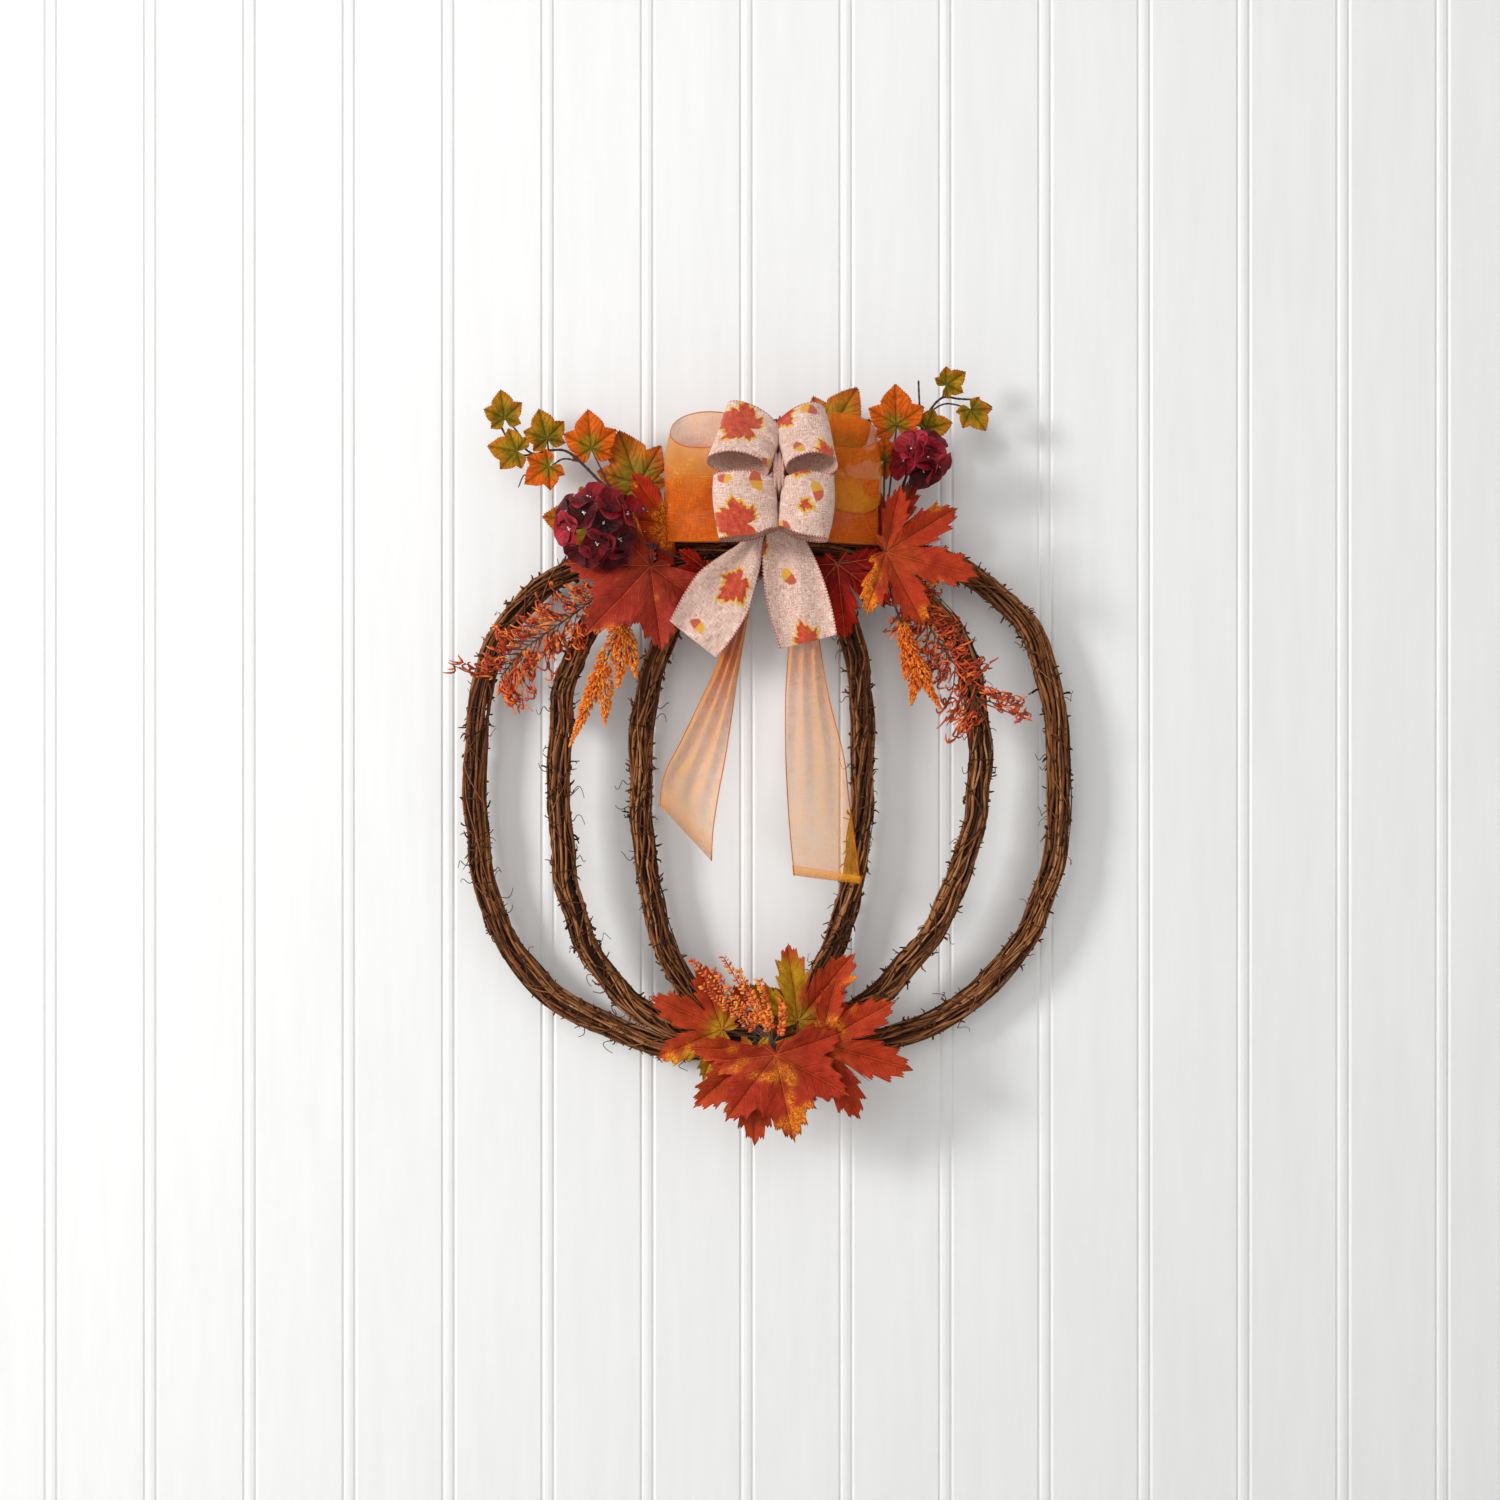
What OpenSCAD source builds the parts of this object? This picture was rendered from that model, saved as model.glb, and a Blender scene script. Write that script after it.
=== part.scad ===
// Pumpkin-shaped harvest door wreath: three nested grapevine hoops, a ribbon bow with two pairs of
// streamers, and three picks of artificial leaves, flowers and sprays.
// Frame: the origin is where a nail bears inside the hanging loop. +Z is up, -Y faces the viewer,
// and the hoops lie in X-Z planes just in front of the door.

/* [Vine frame] */
// Half the width of the outer hoop, to the middle of its bundle
outer_half_w = 286; // [280:1:292]
// Half the width of the middle hoop
middle_half_w = 204; // [198:1:208]
// Half the width of the inner hoop
inner_half_w = 109; // [105:1:112]
// Thickness of a grapevine bundle
bundle_d = 23; // [20:1:23]
// Height of the pumpkin's stem above the hoops
stem_h = 108; // [90:1:112]
// Diameter of the florist's wire
wire_d = 1.6; // [1:0.1:2]

/* [Bow] */
// Width of both ribbons
ribbon_w = 62; // [56:1:62]
// Thickness that a ribbon is drawn with
ribbon_t = 1; // [0.6:0.1:1.2]
// Half-length of a sheer loop, from the knot outwards
sheer_half_l = 53; // [46:1:54]
// Half-length of a printed loop
printed_half_l = 30; // [26:1:31]

/* [Foliage] */
// Size of every leaf, against its own length in the table below
leaf_scale = 1; // [0.9:0.01:1]
// Thickness of a fabric leaf
leaf_t = 0.6; // [0.4:0.1:0.8]
// Radius of the left flower head, to its florets' middles
flower_r = 36; // [30:1:38]

/* [Hidden] */
bundle_r = bundle_d / 2;
wire_r = wire_d / 2;
plane_y = -14;          // middle of the outer and inner hoops, in front of the nail's plane
middle_y = -36;         // middle of the middle hoop, which lies across the other two
hoop_steps = 72;
hoop_sides = 8;
gap = 0.5;              // clearance between pieces that only lie near each other
petiole_r = 0.8;
pick_r = 3.5;
knot_x = 10;            // the bow's middle
knot_z = 31;
sheer_y = -66;          // middle of the sheer loops
printed_y = -104;       // middle of the printed loops
loop_depth = 36;        // front to back of a bow loop
swing_z = -34;          // the streamers hang from here

// A hoop is [middle x, y, height where it is widest, half-width, rise, drop, four corner powers].
// A corner power of 2 is an ellipse's corner and a higher one is squarer: top right, top left,
// bottom left, bottom right.
OUTER = [0, plane_y, -269, outer_half_w, 244, 257, [2.9, 3, 2.5, 2.4]];
MIDDLE = [2, middle_y, -245, middle_half_w, 205, 266, [2.6, 2.6, 2.7, 1.9]];
INNER = [-15, plane_y, -245, inner_half_w, 195, 254, [3, 2.1, 2.3, 2.1]];

// A leaf is [node, shape, x, y, z of its junction, length, direction of its tip, what it grows on].
// Each leaf has its own layer in y, so that no two blades or petioles meet.
LEAVES = [
  ["left_maple_leaf_lower",   "maple", -112, -66,  -54, 92, -132, "left"],
  ["left_maple_leaf_upper",   "maple",  -95, -49,  -13, 70,  172, "left"],
  ["left_maple_leaf_inner",   "maple",  -56, -60,  -58, 50, -122, "left"],
  ["left_gold_leaf_upper",    "gold",  -125, -29,   29, 58,  111, "left"],
  ["left_gold_leaf_lower",    "gold",  -161, -34,  -13, 62,  170, "left"],
  ["left_ivy_leaf_top",       "ivy",   -254, -41,   91, 28,   98, "left_branch"],
  ["left_ivy_leaf_tip",       "ivy",   -242, -43,   59, 30,  169, "left_branch"],
  ["left_ivy_leaf_upper",     "ivy",   -213, -41,   71, 30,  105, "left_branch"],
  ["left_ivy_leaf_lower",     "ivy",   -211, -44,   44, 29, -144, "left_branch"],
  ["left_ivy_leaf_orange",    "ivy",   -170, -41,   62, 38,   95, "left_branch"],
  ["right_gold_leaf_upper",   "gold",    59, -30,   76, 56,   58, "right"],
  ["right_gold_leaf_lower",   "gold",    66, -38,   60, 47,   41, "right"],
  ["right_orange_leaf_upper", "ivy",    125, -45,   84, 40,   92, "right"],
  ["right_orange_leaf_lower", "ivy",    113, -48,   49, 31,   32, "right"],
  ["right_ivy_leaf_top",      "ivy",    174, -36,  124, 22,   34, "right_branch"],
  ["right_ivy_leaf_tip",      "ivy",    198, -36,  100, 25,  -57, "right_branch"],
  ["right_ivy_leaf_lower",    "ivy",    154, -36,   82, 26,   11, "right_branch"],
  ["right_maple_leaf_upper",  "maple",  118, -41,  -24, 62,   66, "right"],
  ["right_maple_leaf_outer",  "maple",  113, -83,  -42, 90,  -15, "right"],
  ["right_maple_leaf_inner",  "maple",   67, -65,  -56, 62,  -86, "right"],
  ["bottom_maple_leaf_left",  "maple",  -43, -56, -499, 84,  156, "bottom"],
  ["bottom_maple_leaf_upper", "maple",   30, -60, -490, 86,   51, "bottom"],
  ["bottom_maple_leaf_right", "maple",   51, -73, -510, 92,  -16, "bottom"],
  ["bottom_maple_leaf_front", "maple",    9, -81, -524, 87,  -78, "bottom"],
  ["bottom_maple_leaf_under", "maple",  -15, -77, -517, 88,  -96, "bottom"],
  ["bottom_gold_leaf",        "gold",    22, -51, -488, 42,  135, "bottom"],
];

// A pick's main stem stands out from the vine: [name, x, z, back y, front y].
PICKS = [
  ["left",   -109,  -35, -22, -72],
  ["right",   112,  -36, -22, -82],
  ["bottom",    5, -511, -44, -80],
];
left_branch_y = -38;
right_branch_y = -33;

// ---- Curves and sweeps ----

function unit(v) = v / norm(v);

// The direction of travel at point i of a route.
function heading(route, i, closed) =
  let (n = len(route))
  closed ? unit(route[(i + 1) % n] - route[(i + n - 1) % n])
         : unit(route[min(i + 1, n - 1)] - route[max(i - 1, 0)]);

// Side faces between rings of m points, and the end caps of an open sweep.
function skin(rings, m, closed) = concat(
  [for (i = [0:(closed ? rings : rings - 1) - 1], j = [0:m - 1])
    let (k = (i + 1) % rings, l = (j + 1) % m)
    each [[i * m + j, k * m + j, k * m + l], [i * m + j, k * m + l, i * m + l]]],
  closed ? [] : [[for (j = [0:m - 1]) j], [for (j = [m - 1:-1:0]) (rings - 1) * m + j]]);

// A round tube along a route that never runs along Y.
module tube(route, radius, sides = 8, closed = false) {
  n = len(route);
  points = [for (i = [0:n - 1], j = [0:sides - 1])
    let (t = heading(route, i, closed),
         side = unit(cross(t, [0, 1, 0])),
         other = cross(t, side),
         a = 360 * j / sides)
    route[i] + radius * (cos(a) * side + sin(a) * other)];
  polyhedron(points, skin(n, sides, closed));
}

// A flat ribbon along a route: each station is [middle point, unit vector across, width].
module strip(stations) {
  n = len(stations);
  middles = [for (s = stations) s[0]];
  points = [for (i = [0:n - 1], c = [[-1, -1], [-1, 1], [1, 1], [1, -1]])
    let (t = heading(middles, i, false),
         across = stations[i][1],
         out = unit(cross(across, t)))
    middles[i] + c[0] * stations[i][2] / 2 * across + c[1] * ribbon_t / 2 * out];
  polyhedron(points, skin(n, 4, false));
}

module rod(from, to, r) {
  d = to - from;
  translate(from)
    rotate([0, acos(d[2] / norm(d)), atan2(d[1], d[0])])
      cylinder(h = norm(d), r = r, $fn = 16);
}

// A stem of short rounded lengths, tapering along its points.
module twig(points, r_start, r_end) {
  n = len(points) - 1;
  for (i = [0:n - 1])
    hull() {
      translate(points[i]) sphere(r = r_start + (r_end - r_start) * i / n, $fn = 6);
      translate(points[i + 1]) sphere(r = r_start + (r_end - r_start) * (i + 1) / n, $fn = 6);
    }
}

// ---- Vine frame ----

function corner_power(hoop, a) = hoop[6][floor(a / 90) % 4];
function hoop_point(hoop, a) =
  let (p = 2 / corner_power(hoop, a), c = cos(a), s = sin(a))
  [hoop[0] + hoop[3] * sign(c) * pow(abs(c), p),
   hoop[1],
   hoop[2] + (s > 0 ? hoop[4] : hoop[5]) * sign(s) * pow(abs(s), p)];
function hoop_top(hoop) = hoop[2] + hoop[4];

module hoop(shape) {
  route = [for (i = [0:hoop_steps - 1]) hoop_point(shape, 360 * (i + 0.5) / hoop_steps)];
  color("saddlebrown") tube(route, bundle_r, hoop_sides, closed = true);
}

module pumpkin_stem() {
  foot_z = hoop_top(OUTER) + bundle_r - 3;
  color("saddlebrown")
    tube([for (i = [0:8]) [20 - 5 * pow(i / 8, 2), plane_y + 2 * sin(180 * i / 8),
                           foot_z + (stem_h + 3) * i / 8]], bundle_r * 0.8, 10);
}

// How high a hoop's middle is at x, on its top run (side 1) or its bottom run (side -1).
function run_height(hoop, x, side) =
  let (u = abs(x - hoop[0]) / hoop[3],
       corner = side > 0 ? (x > hoop[0] ? 0 : 1) : (x > hoop[0] ? 3 : 2),
       n = hoop[6][corner])
  hoop[2] + side * (side > 0 ? hoop[4] : hoop[5]) * pow(1 - pow(u, n), 1 / n);

// A band of wire drawn tight round all three hoops at x.
module wire_band(x, side, width) {
  middles = [for (h = [OUTER, MIDDLE, INNER]) [h[1], run_height(h, x, side)]];
  translate([x - width / 2, 0, 0])
    rotate([90, 0, 90])
      linear_extrude(width)
        difference() {
          hull() for (m = middles) translate(m) circle(bundle_r + gap + wire_d, $fn = 32);
          hull() for (m = middles) translate(m) circle(bundle_r + gap, $fn = 32);
        }
}

// Two turns of wire side by side.
module tie_wire(x, side) {
  color("dimgray") wire_band(x, side, 2 * wire_d);
}

// An eye for the nail, with two turns of the same wire round the outer hoop.
module hanging_loop() {
  eye_r = 9;
  turn_r = bundle_r + gap + wire_r;
  leg_x = 4;
  color("dimgray") {
    translate([0, 0, -eye_r]) rotate([90, 0, 0])
      rotate_extrude($fn = 48) translate([eye_r + wire_r, 0]) circle(wire_r, $fn = 16);
    for (x = [-leg_x, leg_x]) {
      translate([x, plane_y, hoop_top(OUTER)]) rotate([0, 90, 0])
        rotate_extrude($fn = 48) translate([turn_r, 0]) circle(wire_r, $fn = 16);
      rod([x, 0, -eye_r - sqrt(pow(eye_r + wire_r, 2) - leg_x * leg_x)],
          [x, plane_y + turn_r, hoop_top(OUTER)], wire_r - 0.1);
    }
  }
}

// ---- Bow ----

function oval(a, b) = [for (i = [0:39]) [a * cos(9 * i), b * sin(9 * i)]];

// A loop is one turn of ribbon standing on edge: an oval tube whose height is the ribbon's width.
module bow_loop(side, tier, half_l, y, tint) {
  inner_x = 1.2;
  middle_z = knot_z + tier * (ribbon_w / 2 + gap);
  color(tint)
    translate([knot_x + side * (inner_x + half_l), y, middle_z - ribbon_w / 2])
      linear_extrude(ribbon_w)
        difference() {
          polygon(oval(half_l, loop_depth / 2));
          polygon(oval(half_l - ribbon_t, loop_depth / 2 - ribbon_t));
        }
}

module printed_loop(side, tier) {
  bow_loop(side, tier, printed_half_l * (side > 0 ? 0.85 : 1), printed_y, "mistyrose");
}

module sheer_loop(side, tier) {
  bow_loop(side, tier, sheer_half_l * (side > 0 ? 0.92 : 1), sheer_y, "orange");
}

// The gathered band that pinches all eight loops at the knot.
module bow_centre_tie() {
  front_y = printed_y - loop_depth / 2 + 6;
  color("tan")
    translate([knot_x - 1.5, front_y, knot_z - 22]) cube([3, sheer_y + 16 - front_y, 44]);
}

// One turn of wire round the top of the frame, with its end hooked into the band.
module bow_wire() {
  turn_x = knot_x - 20;
  behind_y = sheer_y + loop_depth / 2 + 1;
  color("dimgray") {
    wire_band(turn_x, 1, wire_d);
    rod([turn_x, middle_y - bundle_r - gap - wire_r, run_height(MIDDLE, turn_x, 1)],
        [turn_x, behind_y, knot_z - 24], wire_r - 0.1);
    rod([turn_x, behind_y, knot_z - 24.5], [knot_x, sheer_y + 14, knot_z - 18], wire_r - 0.1);
  }
}

// A streamer is a list of [x, y, z, direction of the width, width].
function streamer_stations(rows) =
  [for (r = rows) [[r[0], r[1], r[2]], [cos(r[3]), 0, sin(r[3])], r[4]]];

PRINTED_LEFT = [
  [-14, -74, swing_z, 0, 14], [-22, -74, -48, -28, 30], [-32, -75, -64, -36, 46],
  [-42, -76, -80, -38, 60], [-52, -77, -96, -38, 62], [-62, -78, -112, -38, 60],
  [-70, -79, -124, -38, 50]];
PRINTED_RIGHT = [
  [ 17, -74, swing_z, 0, 40], [ 20, -74, -50, 10, 50], [ 24, -75, -68, 14, 56],
  [ 29, -76, -88, 15, 58], [ 34, -77, -108, 15, 56], [ 39, -78, -126, 14, 48]];
SHEER_LEFT = [
  [-16, -70, swing_z, 0, 14], [-21, -70, -70, 0, 16], [-28, -70, -110, 0, 16],
  [-38, -70, -150, -4, 22], [-50, -70, -190, -8, 34], [-62, -71, -230, -14, 44],
  [-72, -72, -262, -26, 54], [-76, -72, -290, -42, 66], [-78, -73, -314, -50, 79]];
SHEER_RIGHT = [
  [ 24, -70, swing_z, 0, 20], [ 30, -70, -70, 0, 24], [ 35, -70, -125, 0, 30],
  [ 38, -70, -180, 0, 42], [ 45, -70, -235, 0, 56], [ 48, -71, -270, 0, 59],
  [ 52, -72, -310, 0, 62], [ 56, -73, -352, -2, 62]];

// ---- Foliage ----

// Half a lobe, from its root to its tip, along and across a lobe of length 1.
POINTED_LOBE = [[0.42, -0.18], [0.60, -0.26], [0.66, -0.15], [0.80, -0.15], [0.84, -0.07], [1, 0]];
ROUND_LOBE = [[0.40, -0.20], [0.62, -0.27], [0.82, -0.18], [0.94, -0.07], [1, 0]];
BROAD_LOBE = [[0.40, -0.24], [0.58, -0.33], [0.76, -0.26], [0.90, -0.12], [1, 0]];

// A leaf shape is [half lobe, radius of its heart, [direction, length] of each lobe].
MAPLE = [POINTED_LOBE, 0.3,
  [[-150, 0.36], [-104, 0.62], [-52, 0.86], [0, 1], [52, 0.86], [104, 0.62], [150, 0.36]]];
IVY = [ROUND_LOBE, 0.28, [[-116, 0.60], [-58, 0.80], [0, 1], [58, 0.80], [116, 0.60]]];
GOLD = [BROAD_LOBE, 0.3, [[-112, 0.42], [-54, 0.70], [0, 1], [54, 0.70], [112, 0.42]]];

function leaf_shape(name) = name == "maple" ? MAPLE : name == "ivy" ? IVY : GOLD;
function whole_lobe(half) =
  concat(half, [for (i = [len(half) - 2:-1:0]) [half[i][0], -half[i][1]]]);
function pick_of(name) = [for (p = PICKS) if (p[0] == name) p][0];

module leaf_outline(shape, size) {
  circle(r = shape[1] * size, $fn = 12);
  for (lobe = shape[2])
    rotate(lobe[0]) polygon(concat([[0, 0]], whole_lobe(shape[0])) * lobe[1] * size);
}

// A leaf's blade, with its wired petiole behind it running to its pick or branch.
module leaf(row) {
  junction = [row[2], row[3], row[4]];
  size = row[5] * leaf_scale;
  color(row[1] == "maple" ? "firebrick" : row[1] == "gold" ? "goldenrod" : "darkorange")
    translate(junction) rotate([90, 0, 0]) rotate([0, 0, row[6]])
      linear_extrude(leaf_t, center = true) leaf_outline(leaf_shape(row[1]), size);
  color("darkolivegreen") {
    if (row[7] == "left_branch")
      rod(junction, [row[2], left_branch_y + 1, row[4]], petiole_r);
    else if (row[7] == "right_branch")
      rod(junction, [row[2], right_branch_y + 1, row[4]], petiole_r);
    else {
      pick = pick_of(row[7]);
      along = [6 * cos(row[6]), leaf_t / 2 + petiole_r - 0.2, 6 * sin(row[6])];
      rod(junction + along, [pick[1], row[3] + 2, pick[2]], petiole_r);
    }
  }
}

module pick_stem(name) {
  pick = pick_of(name);
  color("saddlebrown")
    translate([pick[1], pick[3], pick[2]]) rotate([90, 0, 0])
      cylinder(h = pick[3] - pick[4], r = pick_r, $fn = 24);
}

module left_ivy_branch() {
  y = left_branch_y;
  color("saddlebrown") {
    twig([[-109, y, -35], [-131, y, -6], [-150, y, 18], [-166, y, 34], [-182, y, 50],
          [-196, y, 60], [-212, y, 60], [-226, y, 57], [-236, y, 64], [-242, y, 78],
          [-254, y, 91]], 1.6, 0.9);
    twig([[-226, y, 57], [-238, y, 56], [-248, y, 66], [-258, y, 84], [-264, y, 104]], 1, 0.8);
    twig([[-212, y, 60], [-213, y, 71]], 0.9, 0.8);
    twig([[-182, y, 50], [-198, y, 52], [-211, y, 44], [-228, y, 40], [-240, y, 24]], 1, 0.7);
    twig([[-150, y, 18], [-160, y, 40], [-170, y, 61]], 1, 0.8);
  }
}

module right_ivy_branch() {
  y = right_branch_y;
  color("saddlebrown") {
    twig([[112, y, -36], [124, y, 2], [136, y, 38], [147, y, 66], [150, y, 80], [157, y, 98],
          [170, y, 112], [186, y, 111], [202, y, 110], [218, y, 103]], 1.6, 0.7);
    twig([[150, y, 80], [148, y, 104], [147, y, 128]], 0.9, 0.7);
    twig([[157, y, 98], [172, y, 106], [188, y, 104], [198, y, 100]], 0.9, 0.7);
    twig([[170, y, 112], [174, y, 124]], 0.8, 0.7);
    twig([[150, y, 80], [154, y, 82]], 0.9, 0.8);
  }
}

// A floret has four round petals: this is their outline.
function floret(r) = [for (i = [0:23]) let (a = 15 * i)
  r * (0.42 + 0.58 * pow(abs(cos(2 * a)), 0.5)) * [cos(a), sin(a)]];

// Florets stand on short stalks over the front of a ball, spread by the golden angle.
module flower_head(centre, radius, count, root) {
  stalk = radius * 0.92;
  color("maroon") {
    translate(centre) sphere(r = radius * 0.25, $fn = 12);
    for (i = [0:count - 1])
      let (turn = 137.5 * i, lean = 70 * sqrt((i + 0.5) / count))
        translate(centre) rotate([90, 0, 0]) rotate([0, 0, turn]) rotate([0, lean, 0]) {
          twig([[0, 0, 0], [0, 0, stalk]], petiole_r, petiole_r);
          translate([0, 0, stalk - 0.3]) linear_extrude(0.6) polygon(floret(radius * 0.47));
        }
  }
  color("darkolivegreen") rod(root, centre, petiole_r + 0.4);
}

// A spray of curly sprigs, which leave the stem to one side and then the other.
module heather_spray(stem, reach, count) {
  n = len(stem) - 1;
  color("orangered") {
    twig(stem, 1.6, 0.9);
    for (i = [4:count])
      let (at = i * n / (count + 0.5), k = floor(at), f = at - k,
           p = stem[k] * (1 - f) + stem[k + 1] * f,
           t = unit(stem[k + 1] - stem[k]),
           out = cross(t, [0, 1, 0]) * (i % 2 == 0 ? 1 : -1),
           l = reach * (0.7 + 0.3 * sin(97 * i)))
        twig([p, p + l * (0.5 * out + 0.2 * t), p + l * (0.75 * out + 0.65 * t) + [0, -3, 0]], 0.9, 0.8);
  }
}

// A feathery spray: tapered plumes lie close along the stem.
module plume_spray(stem, plumes, r_plume) {
  n = len(stem) - 1;
  color("darkorange") {
    twig(stem, 1.4, r_plume * 0.6);
    for (p = plumes)
      twig([stem[p[0]], stem[p[0]] + p[1] / 2, stem[p[0]] + p[1]], r_plume, 1.2);
  }
}

module bottom_berry_spray() {
  y = -66;
  root = [5, y, -511];
  tips = [[-73, y, -430], [-62, y, -455], [-42, y, -428], [-28, y, -440], [-8, y, -450],
          [14, y, -470]];
  color("orangered")
    for (tip = tips) {
      bend = (root + tip) / 2 + [4, 0, -6];
      twig([root, bend, tip], 1, 0.8);
      for (f = [0.45:0.18:1])
        translate(bend * (1 - f) + tip * f) sphere(r = 3.2 - f, $fn = 6);
    }
}

// ---- The parts ----

hoop(OUTER);  // outer_hoop
hoop(MIDDLE);  // middle_hoop
hoop(INNER);  // inner_hoop
pumpkin_stem();
tie_wire(-24, 1);  // top_tie_wire
tie_wire(-12, -1);  // bottom_tie_wire
hanging_loop();
sheer_loop(-1, 1);  // sheer_loop_upper_left
sheer_loop(1, 1);  // sheer_loop_upper_right
sheer_loop(-1, -1);  // sheer_loop_lower_left
sheer_loop(1, -1);  // sheer_loop_lower_right
printed_loop(-1, 1);  // printed_loop_upper_left
printed_loop(1, 1);  // printed_loop_upper_right
printed_loop(-1, -1);  // printed_loop_lower_left
printed_loop(1, -1);  // printed_loop_lower_right
bow_centre_tie();
bow_wire();
color("mistyrose") strip(streamer_stations(PRINTED_LEFT));  // printed_streamer_left
color("mistyrose") strip(streamer_stations(PRINTED_RIGHT));  // printed_streamer_right
color("sandybrown") strip(streamer_stations(SHEER_LEFT));  // sheer_streamer_left
color("sandybrown") strip(streamer_stations(SHEER_RIGHT));  // sheer_streamer_right
pick_stem("left");  // left_pick_stem
pick_stem("right");  // right_pick_stem
pick_stem("bottom");  // bottom_pick_stem
left_ivy_branch();
right_ivy_branch();
flower_head([-162, -72, -17], flower_r, 11, [-109, -70, -35]);  // left_flower_head
flower_head([147, -57, 50], flower_r * 0.58, 8, [112, -59, -36]);  // right_flower_head
heather_spray([[-109, -44, -35], [-138, -45, -58], [-172, -51, -88], [-205, -51, -112],  // left_heather_spray
                 [-236, -46, -134], [-258, -42, -160]], 30, 12);
heather_spray([[112, -51, -36], [133, -51, -66], [150, -51, -100], [168, -51, -130],  // right_heather_spray
                 [188, -51, -158], [206, -51, -186]], 30, 12);
plume_spray([[-109, -54, -35], [-124, -56, -75], [-140, -57, -110], [-158, -57, -150],  // left_plume_spray
               [-174, -57, -190], [-190, -56, -226]],
              [[2, [-4, -1, -60]], [2, [14, -1, -50]], [3, [2, -1, -55]], [3, [-22, -1, -40]]], 5.5);
plume_spray([[112, -55, -36], [119, -58, -80], [130, -60, -112], [142, -60, -142],  // right_plume_spray
               [154, -60, -168], [166, -58, -190]],
              [[2, [2, -1, -50]], [2, [16, -1, -60]], [3, [-4, -1, -44]], [3, [16, -1, -36]]], 5);
bottom_berry_spray();
for (row = LEAVES)
  leaf(row);
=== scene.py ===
import math
import random

import bpy
import numpy as np
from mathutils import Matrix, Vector, noise


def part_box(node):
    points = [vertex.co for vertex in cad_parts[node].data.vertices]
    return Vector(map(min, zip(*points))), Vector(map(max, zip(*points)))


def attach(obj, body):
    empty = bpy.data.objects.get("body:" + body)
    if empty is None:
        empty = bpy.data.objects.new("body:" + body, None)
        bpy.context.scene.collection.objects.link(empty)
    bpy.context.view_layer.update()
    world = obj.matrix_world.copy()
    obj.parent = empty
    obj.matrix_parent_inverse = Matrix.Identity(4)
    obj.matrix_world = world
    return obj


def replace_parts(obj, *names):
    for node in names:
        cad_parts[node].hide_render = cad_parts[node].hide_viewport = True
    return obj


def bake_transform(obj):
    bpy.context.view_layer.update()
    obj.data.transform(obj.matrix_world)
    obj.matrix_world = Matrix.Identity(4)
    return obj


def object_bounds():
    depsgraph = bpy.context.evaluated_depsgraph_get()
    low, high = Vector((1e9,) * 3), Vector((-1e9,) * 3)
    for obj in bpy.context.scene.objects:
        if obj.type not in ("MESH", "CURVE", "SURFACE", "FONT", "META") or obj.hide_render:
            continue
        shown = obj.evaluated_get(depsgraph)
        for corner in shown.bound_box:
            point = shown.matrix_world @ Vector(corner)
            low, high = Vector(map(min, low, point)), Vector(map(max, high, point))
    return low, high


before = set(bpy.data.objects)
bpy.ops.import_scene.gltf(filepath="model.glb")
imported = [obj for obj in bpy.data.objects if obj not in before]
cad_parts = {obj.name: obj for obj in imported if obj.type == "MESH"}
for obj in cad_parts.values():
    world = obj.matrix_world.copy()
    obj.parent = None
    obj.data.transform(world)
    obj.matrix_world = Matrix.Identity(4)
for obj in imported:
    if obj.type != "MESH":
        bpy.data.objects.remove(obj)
cad_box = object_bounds()

MM = 0.001
LEAF_T, RIBBON_T, PETAL_T = 0.35 * MM, 0.4 * MM, 0.3 * MM
TAU = 2 * math.pi
rng = random.Random(11)
FRAME, LEFT, RIGHT = "frame", "left_streamers", "right_streamers"


# ---------------------------------------------------------------- small tools

def colour(code):
    """Linear colour from a #rrggbb code."""
    parts = [int(code[i:i + 2], 16) / 255 for i in (1, 3, 5)]
    return np.array([c / 12.92 if c <= 0.04045 else ((c + 0.055) / 1.055) ** 2.4 for c in parts])


def smooth(x, low, high):
    t = np.clip((np.asarray(x, float) - low) / (high - low), 0, 1)
    return t * t * (3 - 2 * t)


def wander(points, scale, seed):
    """Smooth noise, about -1 to 1, at many points."""
    q = np.asarray(points) * scale + seed * 7.31
    return np.array([noise.noise(Vector(p)) for p in q]) * 1.6


def jitter(r):
    return np.array([r.uniform(-1, 1) for _ in range(3)])


def distances(points):
    """Distance along a path to each of its points."""
    return np.concatenate([[0], np.cumsum(np.linalg.norm(np.diff(points, axis=0), axis=1))])


def length_of(points):
    return float(np.linalg.norm(np.diff(points, axis=0), axis=1).sum())


def normalised(v):
    return v / np.maximum(np.linalg.norm(v, axis=-1, keepdims=True), 1e-12)


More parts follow.
